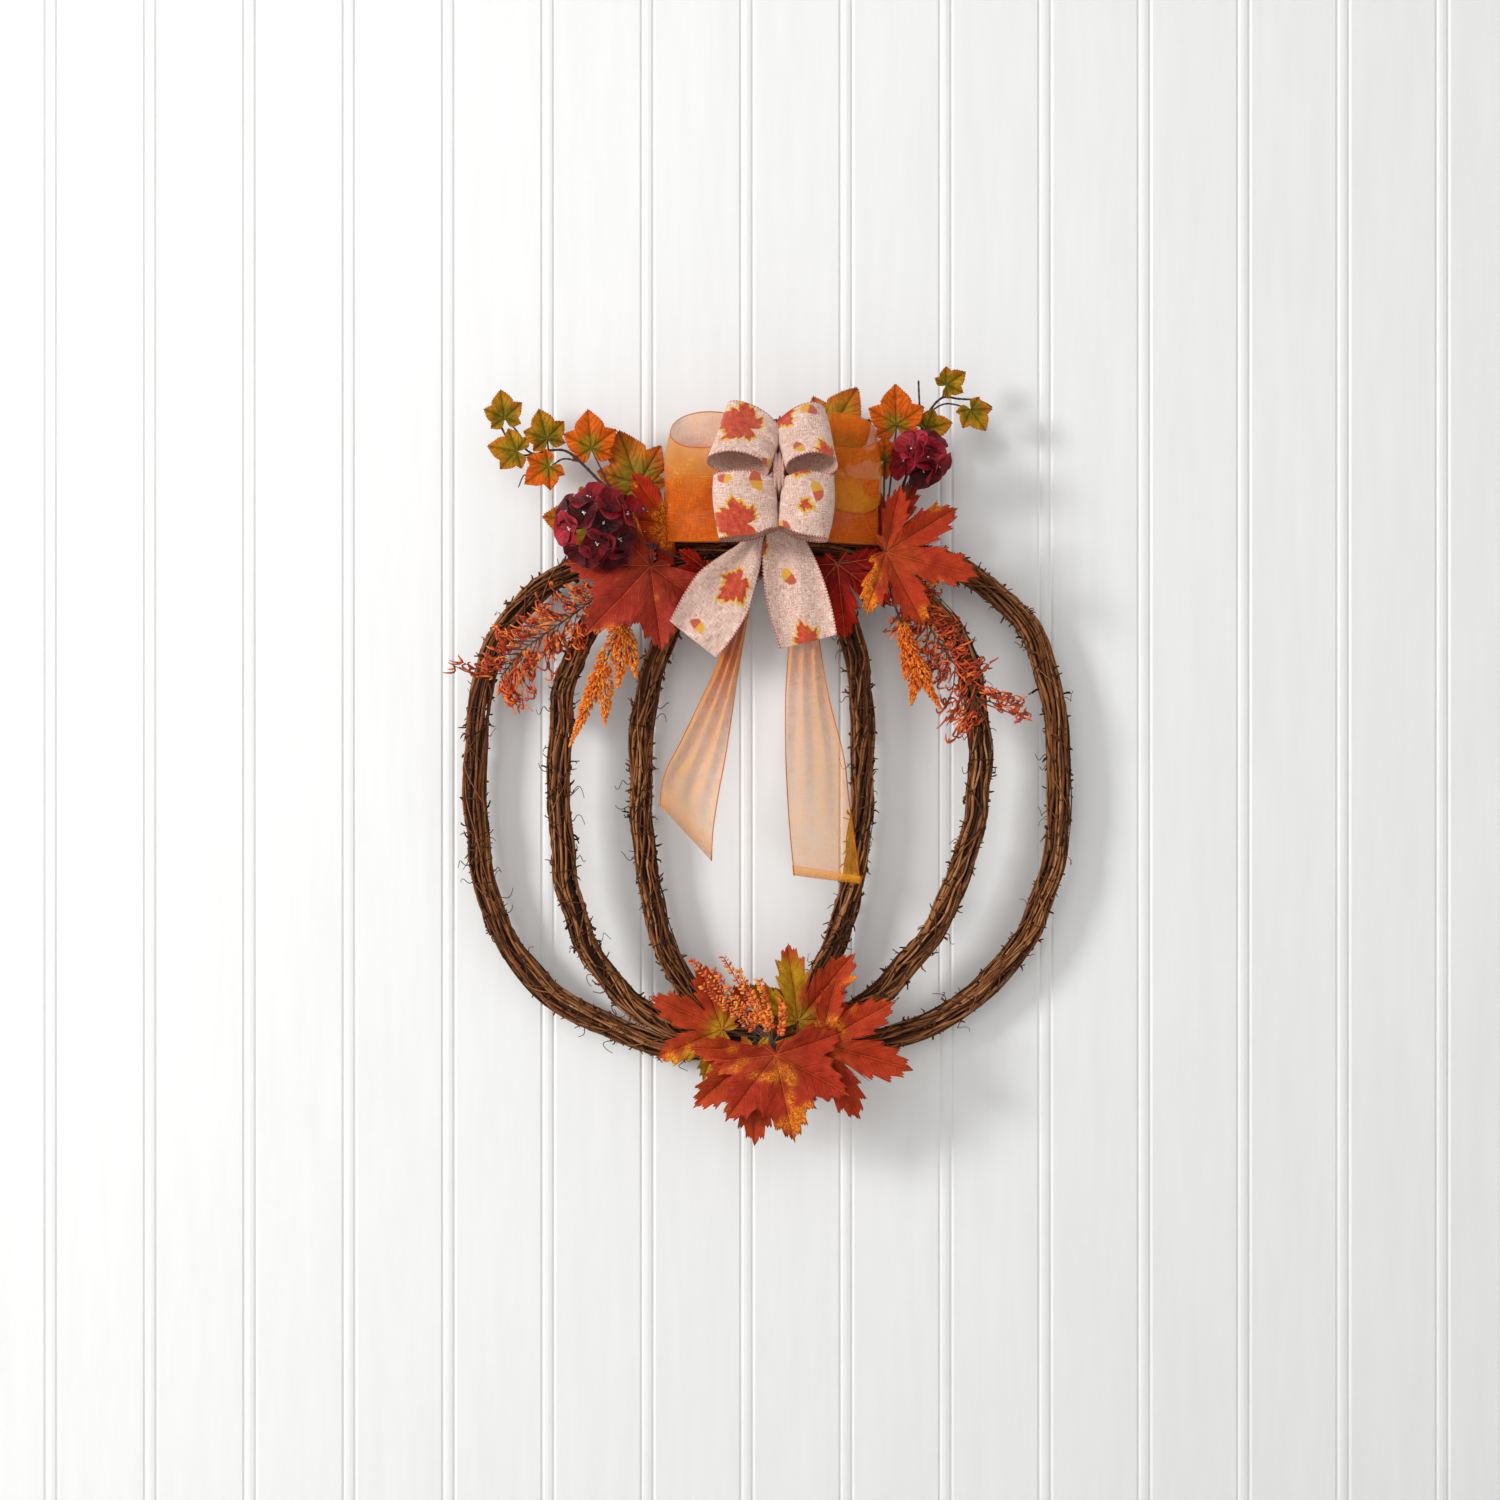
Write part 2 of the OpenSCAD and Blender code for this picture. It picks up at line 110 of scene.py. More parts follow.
class Build:
    """Gathers vertices, faces and point attributes, and makes one mesh object of them."""

    def __init__(self):
        self.v, self.quads, self.tris = [], [], []
        self.quad_mats, self.tri_mats = [], []
        self.attrs = {}
        self.n = 0

    def add(self, verts, quads=(), tris=(), mat=0, **attrs):
        verts = np.asarray(verts, float).reshape(-1, 3)
        if len(quads):
            self.quads.append(np.asarray(quads) + self.n)
            self.quad_mats.append(np.full(len(quads), mat))
        if len(tris):
            self.tris.append(np.asarray(tris) + self.n)
            self.tri_mats.append(np.full(len(tris), mat))
        for name, value in attrs.items():
            value = np.asarray(value, float)
            size = value.shape[-1] if value.ndim and value.shape[-1] == 3 else 1
            full = np.broadcast_to(value if size == 3 else value.reshape(-1, 1), (len(verts), size))
            self.attrs.setdefault(name, (size, []))[1].append((self.n, full))
        self.v.append(verts)
        self.n += len(verts)

    def object(self, name, mats):
        me = bpy.data.meshes.new(name)
        me.vertices.add(self.n)
        me.vertices.foreach_set("co", np.concatenate(self.v).ravel())
        quads = np.concatenate(self.quads) if self.quads else np.zeros((0, 4), int)
        tris = np.concatenate(self.tris) if self.tris else np.zeros((0, 3), int)
        me.loops.add(4 * len(quads) + 3 * len(tris))
        me.loops.foreach_set("vertex_index", np.concatenate([quads.ravel(), tris.ravel()]))
        me.polygons.add(len(quads) + len(tris))
        me.polygons.foreach_set("loop_start", np.concatenate(
            [4 * np.arange(len(quads)), 4 * len(quads) + 3 * np.arange(len(tris))]))
        me.polygons.foreach_set("material_index", np.concatenate(
            [*self.quad_mats, *self.tri_mats]).astype(int))
        me.polygons.foreach_set("use_smooth", np.ones(len(quads) + len(tris), bool))
        me.update(calc_edges=True)
        me.validate()
        for key, (size, chunks) in self.attrs.items():
            data = np.zeros((self.n, size))
            for start, value in chunks:
                data[start:start + len(value)] = value
            layer = me.attributes.new(key, "FLOAT" if size == 1 else "FLOAT_VECTOR", "POINT")
            layer.data.foreach_set("value" if size == 1 else "vector", data.ravel())
        for m in mats:
            me.materials.append(m)
        obj = bpy.data.objects.new(name, me)
        bpy.context.scene.collection.objects.link(obj)
        return obj


def sides_of(points, closed):
    """Two unit vectors across a path at each point, without twist."""
    t = np.roll(points, -1, 0) - np.roll(points, 1, 0) if closed else np.gradient(points, axis=0)
    t = normalised(t)
    if closed or np.max(np.abs(t[:, 1])) < 0.9:
        u = normalised(np.cross(t, (0, 1, 0)))
        return u, np.cross(t, u)
    u = np.zeros_like(t)
    start = np.cross(t[0], (0.31, 0.52, 0.79))
    u[0] = start / np.linalg.norm(start)
    for i in range(1, len(t)):
        w = u[i - 1] - t[i] * float(np.dot(u[i - 1], t[i]))
        u[i] = w / max(np.linalg.norm(w), 1e-9)
    return u, np.cross(t, u)


# A face's corners in the other direction, from the same first corner.
OTHER_WAY = [0, 3, 2, 1]


def grid_quads(rows, cols, rows_close=False, cols_close=False):
    """Faces between the points of a grid, whose rows or columns may close on themselves."""
    i, j = np.meshgrid(np.arange(rows if rows_close else rows - 1),
                       np.arange(cols if cols_close else cols - 1), indexing="ij")
    k, l = (i + 1) % rows, (j + 1) % cols
    return np.stack([i * cols + j, i * cols + l, k * cols + l, k * cols + j], -1).reshape(-1, 4)


def sweep(build, points, radius, sides=6, closed=False, mat=0, **attrs):
    """A tube along points. lay holds distance along and place across, for bark and fibre."""
    points = np.asarray(points, float)
    n = len(points)
    r = np.broadcast_to(np.asarray(radius, float).reshape(-1, 1, 1), (n, 1, 1))
    u, w = sides_of(points, closed)
    a = TAU * np.arange(sides) / sides
    ring = u[:, None] * np.cos(a)[None, :, None] + w[:, None] * np.sin(a)[None, :, None]
    verts = points[:, None] + r * ring
    along = np.concatenate([[0], np.cumsum(np.linalg.norm(np.diff(points, axis=0), axis=1))])
    lay = np.stack(np.broadcast_arrays(along[:, None] + rng.random(), (r[:, :, 0] * np.cos(a)),
                                       (r[:, :, 0] * np.sin(a))), -1)
    quads = grid_quads(n, sides, closed, True)
    tris = []
    if not closed:
        for base, flip in ((0, True), ((n - 1) * sides, False)):
            for j in range(1, sides - 1):
                t = [base, base + j, base + j + 1]
                tris.append(t[::-1] if flip else t)
    spread = {}
    for key, value in attrs.items():
        value = np.asarray(value, float)
        per_point = value.ndim >= 1 and value.shape[0] == n and n != 3
        spread[key] = np.repeat(value, sides, axis=0) if per_point else value
    build.add(verts, quads, tris, mat, lay=lay.reshape(-1, 3), **spread)


def curve_through(points, count):
    """A smooth path of count points through the given ones (Catmull-Rom)."""
    p = np.asarray(points, float)
    p = np.vstack([2 * p[0] - p[1], p, 2 * p[-1] - p[-2]])
    spans = len(p) - 3
    t = np.linspace(0, spans - 1e-9, count)
    i = t.astype(int)
    f = (t - i)[:, None]
    a, b, c, d = p[i], p[i + 1], p[i + 2], p[i + 3]
    return 0.5 * (2 * b + (c - a) * f + (2 * a - 5 * b + 4 * c - d) * f ** 2
                  + (3 * b - a - 3 * c + d) * f ** 3)


def cloth_shell(piece, thickness, offset=0.0, reverse=0):
    """Thickness for a sheet. reverse is the material slot of its other side, counted from its own."""
    shell = piece.modifiers.new("cloth", "SOLIDIFY")
    shell.thickness = thickness
    shell.offset = offset
    shell.material_offset = reverse


def stand_in(piece, node):
    """A piece of the frame's body that stands for a CAD node."""
    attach(piece, FRAME)
    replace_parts(piece, node)


# ---------------------------------------------------------------- materials

class Shade:
    """A short way to write a node material."""

    def __init__(self, name, **sockets):
        self.mat = bpy.data.materials.new(name)
        self.mat.use_nodes = True
        self.tree = self.mat.node_tree
        self.bsdf = self.tree.nodes["Principled BSDF"]
        for key, value in sockets.items():
            self.bsdf.inputs[key.replace("_", " ")].default_value = value

    def put(self, node, socket, value):
        target = node.inputs[socket]
        if isinstance(value, bpy.types.NodeSocket):
            self.tree.links.new(value, target)
        elif hasattr(target.default_value, "__len__") and not isinstance(value, (int, float)):
            value = list(value)
            target.default_value = value + [1] * (len(target.default_value) - len(value))
        else:
            target.default_value = value

    def node(self, kind, props=None, out=0, **inputs):
        n = self.tree.nodes.new("ShaderNode" + kind)
        for key, value in (props or {}).items():
            setattr(n, key, value)
        for key, value in inputs.items():
            self.put(n, int(key[1:]) if key[0] == "i" and key[1:].isdigit() else key, value)
        return n.outputs[out]

    def attr(self, name, out="Fac"):
        return self.node("Attribute", {"attribute_name": name}, out)

    def place(self):
        return self.node("TexCoord", out="Object")

    def stretch(self, vector, scale):
        return self.node("VectorMath", {"operation": "MULTIPLY"}, i0=vector, i1=scale)

    def math(self, operation, a, b=0.0):
        return self.node("Math", {"operation": operation}, i0=a, i1=b)

    def noise(self, vector, scale, detail=3.0, rough=0.55, distortion=0.0):
        return self.node("TexNoise", i0=vector, Scale=scale, Detail=detail, Roughness=rough,
                         Distortion=distortion)

    def step(self, value, low, high, to_low=0.0, to_high=1.0):
        n = self.tree.nodes.new("ShaderNodeMapRange")
        n.interpolation_type = "SMOOTHSTEP"
        for i, v in enumerate((value, low, high, to_low, to_high)):
            self.put(n, i, v)
        return n.outputs[0]

    def mix(self, fac, a, b, blend="MIX"):
        n = self.tree.nodes.new("ShaderNodeMix")
        n.data_type = "RGBA"
        n.blend_type = blend
        self.put(n, 0, fac)
        self.put(n, 6, a)
        self.put(n, 7, b)
        return n.outputs[2]

    def ramp(self, fac, stops):
        n = self.tree.nodes.new("ShaderNodeValToRGB")
        ramp = n.color_ramp
        while len(ramp.elements) < len(stops):
            ramp.elements.new(0.5)
        for e, (at, code) in zip(ramp.elements, stops):
            e.position = at
            e.color = [*colour(code), 1]
        self.put(n, 0, fac)
        return n.outputs[0]

    def bump(self, height, distance, strength):
        n = self.tree.nodes.new("ShaderNodeBump")
        self.put(n, "Height", height)
        self.put(n, "Distance", distance)
        self.put(n, "Strength", strength)
        return n.outputs[0]

    def finish(self, base, normal=None, rough=None, alpha=None):
        self.put(self.bsdf, "Base Color", base)
        if normal is not None:
            self.put(self.bsdf, "Normal", normal)
        if rough is not None:
            self.put(self.bsdf, "Roughness", rough)
        if alpha is not None:
            self.put(self.bsdf, "Alpha", alpha)
        return self.mat


def bark_material(name, stops):
    s = Shade(name, Specular_IOR_Level=0.25)
    lay = s.attr("lay", "Vector")
    fibre = s.noise(s.stretch(lay, (90, 1500, 1500)), 1.0, 5, 0.65, 0.4)
    patch = s.noise(s.stretch(lay, (35, 120, 120)), 1.0, 3)
    tone = s.math("ADD", s.math("MULTIPLY", s.attr("tint"), 0.55),
                  s.math("ADD", s.math("MULTIPLY", fibre, 0.5), s.math("MULTIPLY", patch, 0.35)))
    base = s.ramp(s.math("SUBTRACT", tone, 0.22), stops)
    normal = s.bump(s.math("ADD", fibre, patch), 0.0009, 0.9)
    return s.finish(base, normal, s.step(fibre, 0.3, 0.7, 0.92, 0.7))


def leaf_material(name, vein, vein_strength, spacing, rough=0.58, glitter=None):
    """rib is the distance from a lobe's midrib, run the distance along it; tint is the ground."""
    s = Shade(name, Specular_IOR_Level=0.12)
    rib, run, out = s.attr("rib"), s.attr("run"), s.attr("out")
    main = s.step(rib, 0.0004, 0.0011, 1, 0)
    sway = s.math("MULTIPLY", s.noise(s.place(), 60, 2), spacing * 0.9)
    slanted = s.math("SUBTRACT", run, s.math("MULTIPLY", rib, 1.15))
    phase = s.math("DIVIDE", s.math("ADD", slanted, sway), spacing)
    off = s.math("ABSOLUTE", s.math("SUBTRACT", phase, s.math("ROUND", phase)))
    side = s.step(off, 0.03, 0.10, 1, 0)
    side = s.math("MULTIPLY", side, s.step(run, spacing * 0.6, spacing * 1.2))
    veins = s.math("MAXIMUM", main, s.math("MULTIPLY", side, 0.45))
    grain = s.noise(s.place(), 900, 4, 0.7)
    mottle = s.noise(s.place(), 130, 4, 0.6)
    cells = s.node("TexVoronoi", {"feature": "DISTANCE_TO_EDGE"}, i0=s.place(), Scale=420.0)
    net = s.step(cells, 0.0, 0.12, 1, 0)
    base = s.mix(s.math("MULTIPLY", veins, vein_strength), s.attr("tint", "Color"), colour(vein))
    broad = s.noise(s.place(), 42, 3, 0.6)
    base = s.mix(s.step(mottle, 0.3, 0.75, 0.0, 0.7), base, (0.62, 0.46, 0.42), "MULTIPLY")
    base = s.mix(s.step(broad, 0.5, 0.72, 0.0, 0.45), base, (0.72, 0.45, 0.42), "MULTIPLY")
    base = s.mix(s.math("MULTIPLY", net, 0.22), base, (0.35, 0.2, 0.16), "MULTIPLY")
    base = s.mix(s.step(grain, 0.35, 0.7, 0.0, 0.3), base, (1.25, 1.2, 1.15), "MULTIPLY")
    base = s.mix(s.step(out, 0.95, 1.0, 0, 0.25), base, (0.55, 0.42, 0.35), "MULTIPLY")
    if glitter:
        fleck = s.step(s.noise(s.place(), 520, 3, 0.75, 1.2), 0.50, 0.57)
        base = s.mix(s.math("MULTIPLY", fleck, s.attr("glitter")), base, colour(glitter))
    height = s.math("SUBTRACT", s.math("MULTIPLY", grain, 0.25), veins)
    height = s.math("SUBTRACT", height, s.math("MULTIPLY", net, 0.12))
    return s.finish(base, s.bump(height, 0.0012, 0.95), s.step(grain, 0.3, 0.7, rough - 0.1, rough + 0.12))


def linen_material(name, printed):
    """Coarse linen. cloth is (across, along, 0) in metres. Unprinted, it is darkened all over as painted
    shade, for the reverse seen inside the loops.
    """
    s = Shade(name, Specular_IOR_Level=0.2, Sheen_Weight=0.3, Sheen_Roughness=0.6)
    cloth = s.attr("cloth", "Vector")
    warp = s.noise(s.stretch(cloth, (2300, 130, 1)), 1.0, 2, 0.6)
    weft = s.noise(s.stretch(cloth, (130, 2300, 1)), 1.0, 2, 0.6)
    threads = s.math("ADD", warp, weft)
    across, along = s.node("SeparateXYZ", i0=cloth), s.node("SeparateXYZ", out=1, i0=cloth)
    cross = s.math("MULTIPLY", s.math("SINE", s.math("MULTIPLY", across, 4500.0)),
                   s.math("SINE", s.math("MULTIPLY", along, 4500.0)))
    ground = s.ramp(s.step(threads, 0.78, 1.22), [(0, "#bd846c"), (0.4, "#eab9a4"), (1, "#ffeee4")])
    if printed:
        ragged = s.math("MULTIPLY", s.math("SUBTRACT", s.noise(cloth, 330, 5, 0.75), 0.5), 0.010)
        leaf = s.math("ADD", s.attr("leaf_print"), ragged)
        worn = s.noise(cloth, 170, 4, 0.65)
        red = s.ramp(worn, [(0.25, "#9c1410"), (0.5, "#c8301e"), (0.75, "#e05e2e")])
        gold = s.ramp(worn, [(0.3, "#c98f10"), (0.6, "#f2c31c"), (0.85, "#e0611e")])
        fleck = s.step(threads, 0.72, 1.15, 0.85, 1.0)
        base = s.mix(s.math("MULTIPLY", s.step(leaf, 0.0, 0.0008), fleck), ground, gold)
        fringe = s.math("MULTIPLY", s.noise(cloth, 45, 2, 0.5), 0.0055)
        inner = s.step(s.math("SUBTRACT", leaf, fringe), 0.0, 0.0010)
        base = s.mix(s.math("MULTIPLY", inner, fleck), base, red)
        acorn = s.math("ADD", s.attr("acorn_print"), s.math("MULTIPLY", ragged, 0.4))
        shell = s.mix(s.step(s.attr("acorn_cap"), -0.001, 0.001), colour("#e7a616"), colour("#c5502a"))
        base = s.mix(s.math("MULTIPLY", s.step(acorn, 0.0, 0.0007), fleck), base, shell)
    else:
        # The reverse is darkened: painted shade for the loops' insides, which lie in shadow.
        base = s.mix(0.4, ground, (0.66, 0.40, 0.30), "MULTIPLY")
    edge = s.attr("hem")
    dash = s.step(s.math("SINE", s.math("MULTIPLY", along, 2100.0)), -0.4, 0.2)
    stitch = s.math("MULTIPLY", s.step(edge, 0.0011, 0.0015, 1, 0), dash)
    base = s.mix(stitch, base, colour("#b8402a"))
    normal = s.bump(s.math("ADD", threads, s.math("MULTIPLY", cross, 0.35)), 0.0005, 0.9)
    return s.finish(base, normal, s.step(threads, 0.7, 1.3, 0.95, 0.75))


def organza_material():
    """Sheer woven ribbon: threads and specks are denser than the gaps between them. A deeper orange copy of
    its colours is painted shade where layers of the cloth overlap.
    """
    s = Shade("organza", Specular_IOR_Level=0.2)
    cloth = s.attr("cloth", "Vector")
    warp = s.noise(s.stretch(cloth, (1700, 90, 1)), 1.0, 2, 0.6)
    weft = s.noise(s.stretch(cloth, (90, 1700, 1)), 1.0, 2, 0.6)
    speck = s.noise(cloth, 1300, 3, 0.75)
    cloud = s.noise(cloth, 60, 3, 0.6)
    tone = s.math("ADD", s.math("MULTIPLY", s.math("ADD", warp, weft), 0.35), s.math("MULTIPLY", speck, 0.35))
    tone = s.math("ADD", tone, s.math("MULTIPLY", cloud, 0.15))
    pale = s.ramp(tone, [(0.45, "#dc860a"), (0.62, "#f5a41c"), (0.8, "#ffca64")])
    # The deeper copy of the colours is painted shade for overlapping layers and folds. An attribute sets how
    # much of it is used.
    deep = s.ramp(tone, [(0.45, "#bc4a00"), (0.62, "#ea6a00"), (0.8, "#ff9018")])
    base = s.mix(s.attr("deep"), pale, deep)
    edge = s.step(s.attr("hem"), 0.0007, 0.0016, 1, 0)
    base = s.mix(edge, base, colour("#c8640a"))
    worn = s.math("MULTIPLY", s.step(tone, 0.5, 0.8, 0.72, 1.12), s.step(cloud, 0.35, 0.65, 0.90, 1.08))
    depth = s.math("MULTIPLY", s.attr("cover"), worn)
    alpha = s.math("MAXIMUM", s.math("MINIMUM", depth, 0.97), s.math("MULTIPLY", edge, 0.9))
    return s.finish(base, s.bump(tone, 0.0003, 0.7), s.step(speck, 0.3, 0.7, 0.45, 0.7), alpha)


def plain_material(name, stops, scale=300, rough=0.6, height=0.0004, **sockets):
    """tint picks a place on the ramp, and noise moves it a little."""
    s = Shade(name, **sockets)
    grain = s.noise(s.place(), scale, 4, 0.65)
    fac = s.math("ADD", s.attr("tint"), s.math("MULTIPLY", s.math("SUBTRACT", grain, 0.5), 0.5))
    return s.finish(s.ramp(fac, stops), s.bump(grain, height, 0.8),
                    s.step(grain, 0.3, 0.7, rough - 0.1, rough + 0.1))


def petal_material():
    s = Shade("petal", Specular_IOR_Level=0.25)
    run, rib = s.attr("run"), s.attr("rib")
    fan = s.math("SINE", s.math("MULTIPLY", rib, 26.0))
    veins = s.step(fan, 0.72, 0.98)
    grain = s.noise(s.place(), 1100, 3, 0.7)
    base = s.ramp(s.math("ADD", s.attr("tint"), s.math("MULTIPLY", s.math("SUBTRACT", grain, 0.5), 0.35)),
                  [(0.0, "#1e0104"), (0.35, "#5a060c"), (0.65, "#980f1e"), (1.0, "#c42a40")])
    base = s.mix(s.math("MULTIPLY", veins, 0.45), base, colour("#4a0618"))
    base = s.mix(s.step(run, 0.82, 1.0, 0, 0.3), base, colour("#b83a50"))
    return s.finish(base, s.bump(s.math("SUBTRACT", grain, veins), 0.0004, 0.8), 0.48)


def wire_material():
    s = Shade("wire", Metallic=1.0)
    twist = s.noise(s.stretch(s.place(), (900, 900, 900)), 1.0, 3, 0.7)
    base = s.ramp(twist, [(0.3, "#3a352e"), (0.55, "#6b6459"), (0.75, "#8d8474")])
    return s.finish(base, s.bump(twist, 0.0002, 0.6), s.step(twist, 0.3, 0.7, 0.35, 0.6))


BARK = bark_material("bark", [(0.0, "#150a05"), (0.22, "#361d10"), (0.45, "#70401f"),
                              (0.70, "#a86c3e"), (1.0, "#e2b080")])
MAPLE = leaf_material("maple_leaf_cloth", "#e0743a", 0.42, 0.0105, glitter="#ff9d1c")
GOLD = leaf_material("gold_leaf_cloth", "#5e3038", 0.42, 0.0085)
IVY = leaf_material("ivy_leaf_cloth", "#565210", 0.42, 0.0066)
LINEN = linen_material("printed_linen", True)
SHADED_LINEN_BACK = linen_material("shaded_linen_reverse", False)
ORGANZA = organza_material()
PETAL = petal_material()
BEAD = plain_material("flower_centre", [(0.0, "#b9a08f"), (0.5, "#e8dcd2"), (1.0, "#ffffff")], 900, 0.25,
                      0.0002, Specular_IOR_Level=0.8)
STEM = plain_material("wrapped_stem", [(0.0, "#1d1214"), (0.4, "#3b2529"), (0.75, "#5f4138"),
                                       (1.0, "#8a6a52")], 700, 0.7)
HEATHER = plain_material("heather_tip", [(0.0, "#2c240e"), (0.3, "#6e3c10"), (0.5, "#b8300a"),
                                         (0.75, "#ea6a10"), (1.0, "#f99426")], 500, 0.6)
PLUME = plain_material("plume_seed", [(0.0, "#a83006"), (0.35, "#d85a0a"), (0.65, "#ee7c0e"),
                                      (1.0, "#f8a42c")], 600, 0.6)
BERRY = plain_material("berry_seed", [(0.0, "#a02a0c"), (0.4, "#dc5210"), (0.7, "#f07c22"),
                                      (1.0, "#f9a43c")], 600, 0.5)
WIRE = wire_material()


# ---------------------------------------------------------------- grapevine

BUNDLE_R = 11.5 * MM
INNER_STRANDS, OUTER_STRANDS, FINE_WINDINGS = 13, 21, 3
# One of each comes per this length of bundle, in metres.
KNUCKLE_EVERY, CLASP_EVERY, STRAY_EVERY, SNAG_EVERY, TENDRIL_EVERY = 0.05, 0.022, 0.010, 0.0018, 0.019
# Height where a hoop is widest, and its corner powers: top right, top left, bottom left, bottom right.
HOOPS = {"outer_hoop": (-0.269, (2.9, 3.0, 2.5, 2.4)),
         "middle_hoop": (-0.245, (2.6, 2.6, 2.7, 1.9)),
         "inner_hoop": (-0.245, (3.0, 2.1, 2.3, 2.1))}


def even(points, step, closed=True):
    """The same path with points a step apart."""
    if closed:
        points = np.vstack([points, points[:1]])
    d = distances(points)
    n = max(4, int(round(d[-1] / step)))
    at = np.linspace(0, d[-1], n + 1)
    if closed:
        at = at[:-1]
    return np.stack([np.interp(at, d, points[:, k]) for k in range(3)], 1), d[-1]


def hoop_line(node):
    (x0, y0, z0), (x1, y1, z1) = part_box(node)
    wide_z, powers = HOOPS[node]
    a = np.linspace(0, TAU, 1440, endpoint=False)
    c, s = np.cos(a), np.sin(a)
    p = 2 / np.array(powers)[(a / (TAU / 4)).astype(int) % 4]
    half_w = (x1 - x0) / 2 - BUNDLE_R
    reach = np.where(s > 0, z1 - BUNDLE_R - wide_z, wide_z - z0 - BUNDLE_R)
    x = (x0 + x1) / 2 + half_w * np.sign(c) * np.abs(c) ** p
    z = wide_z + reach * np.sign(s) * np.abs(s) ** p
    return even(np.stack([x, np.full_like(x, (y0 + y1) / 2), z], 1), 5.5 * MM)


def ripple(s, length, seed, waves):
    """Slow variation along a vine, the same at both of its ends."""
    r = random.Random(seed)
    total = np.zeros_like(s)
    for k in waves:
        total += r.uniform(-1, 1) * np.sin(TAU * k * s / length + r.uniform(0, TAU))
    return total / math.sqrt(len(waves))


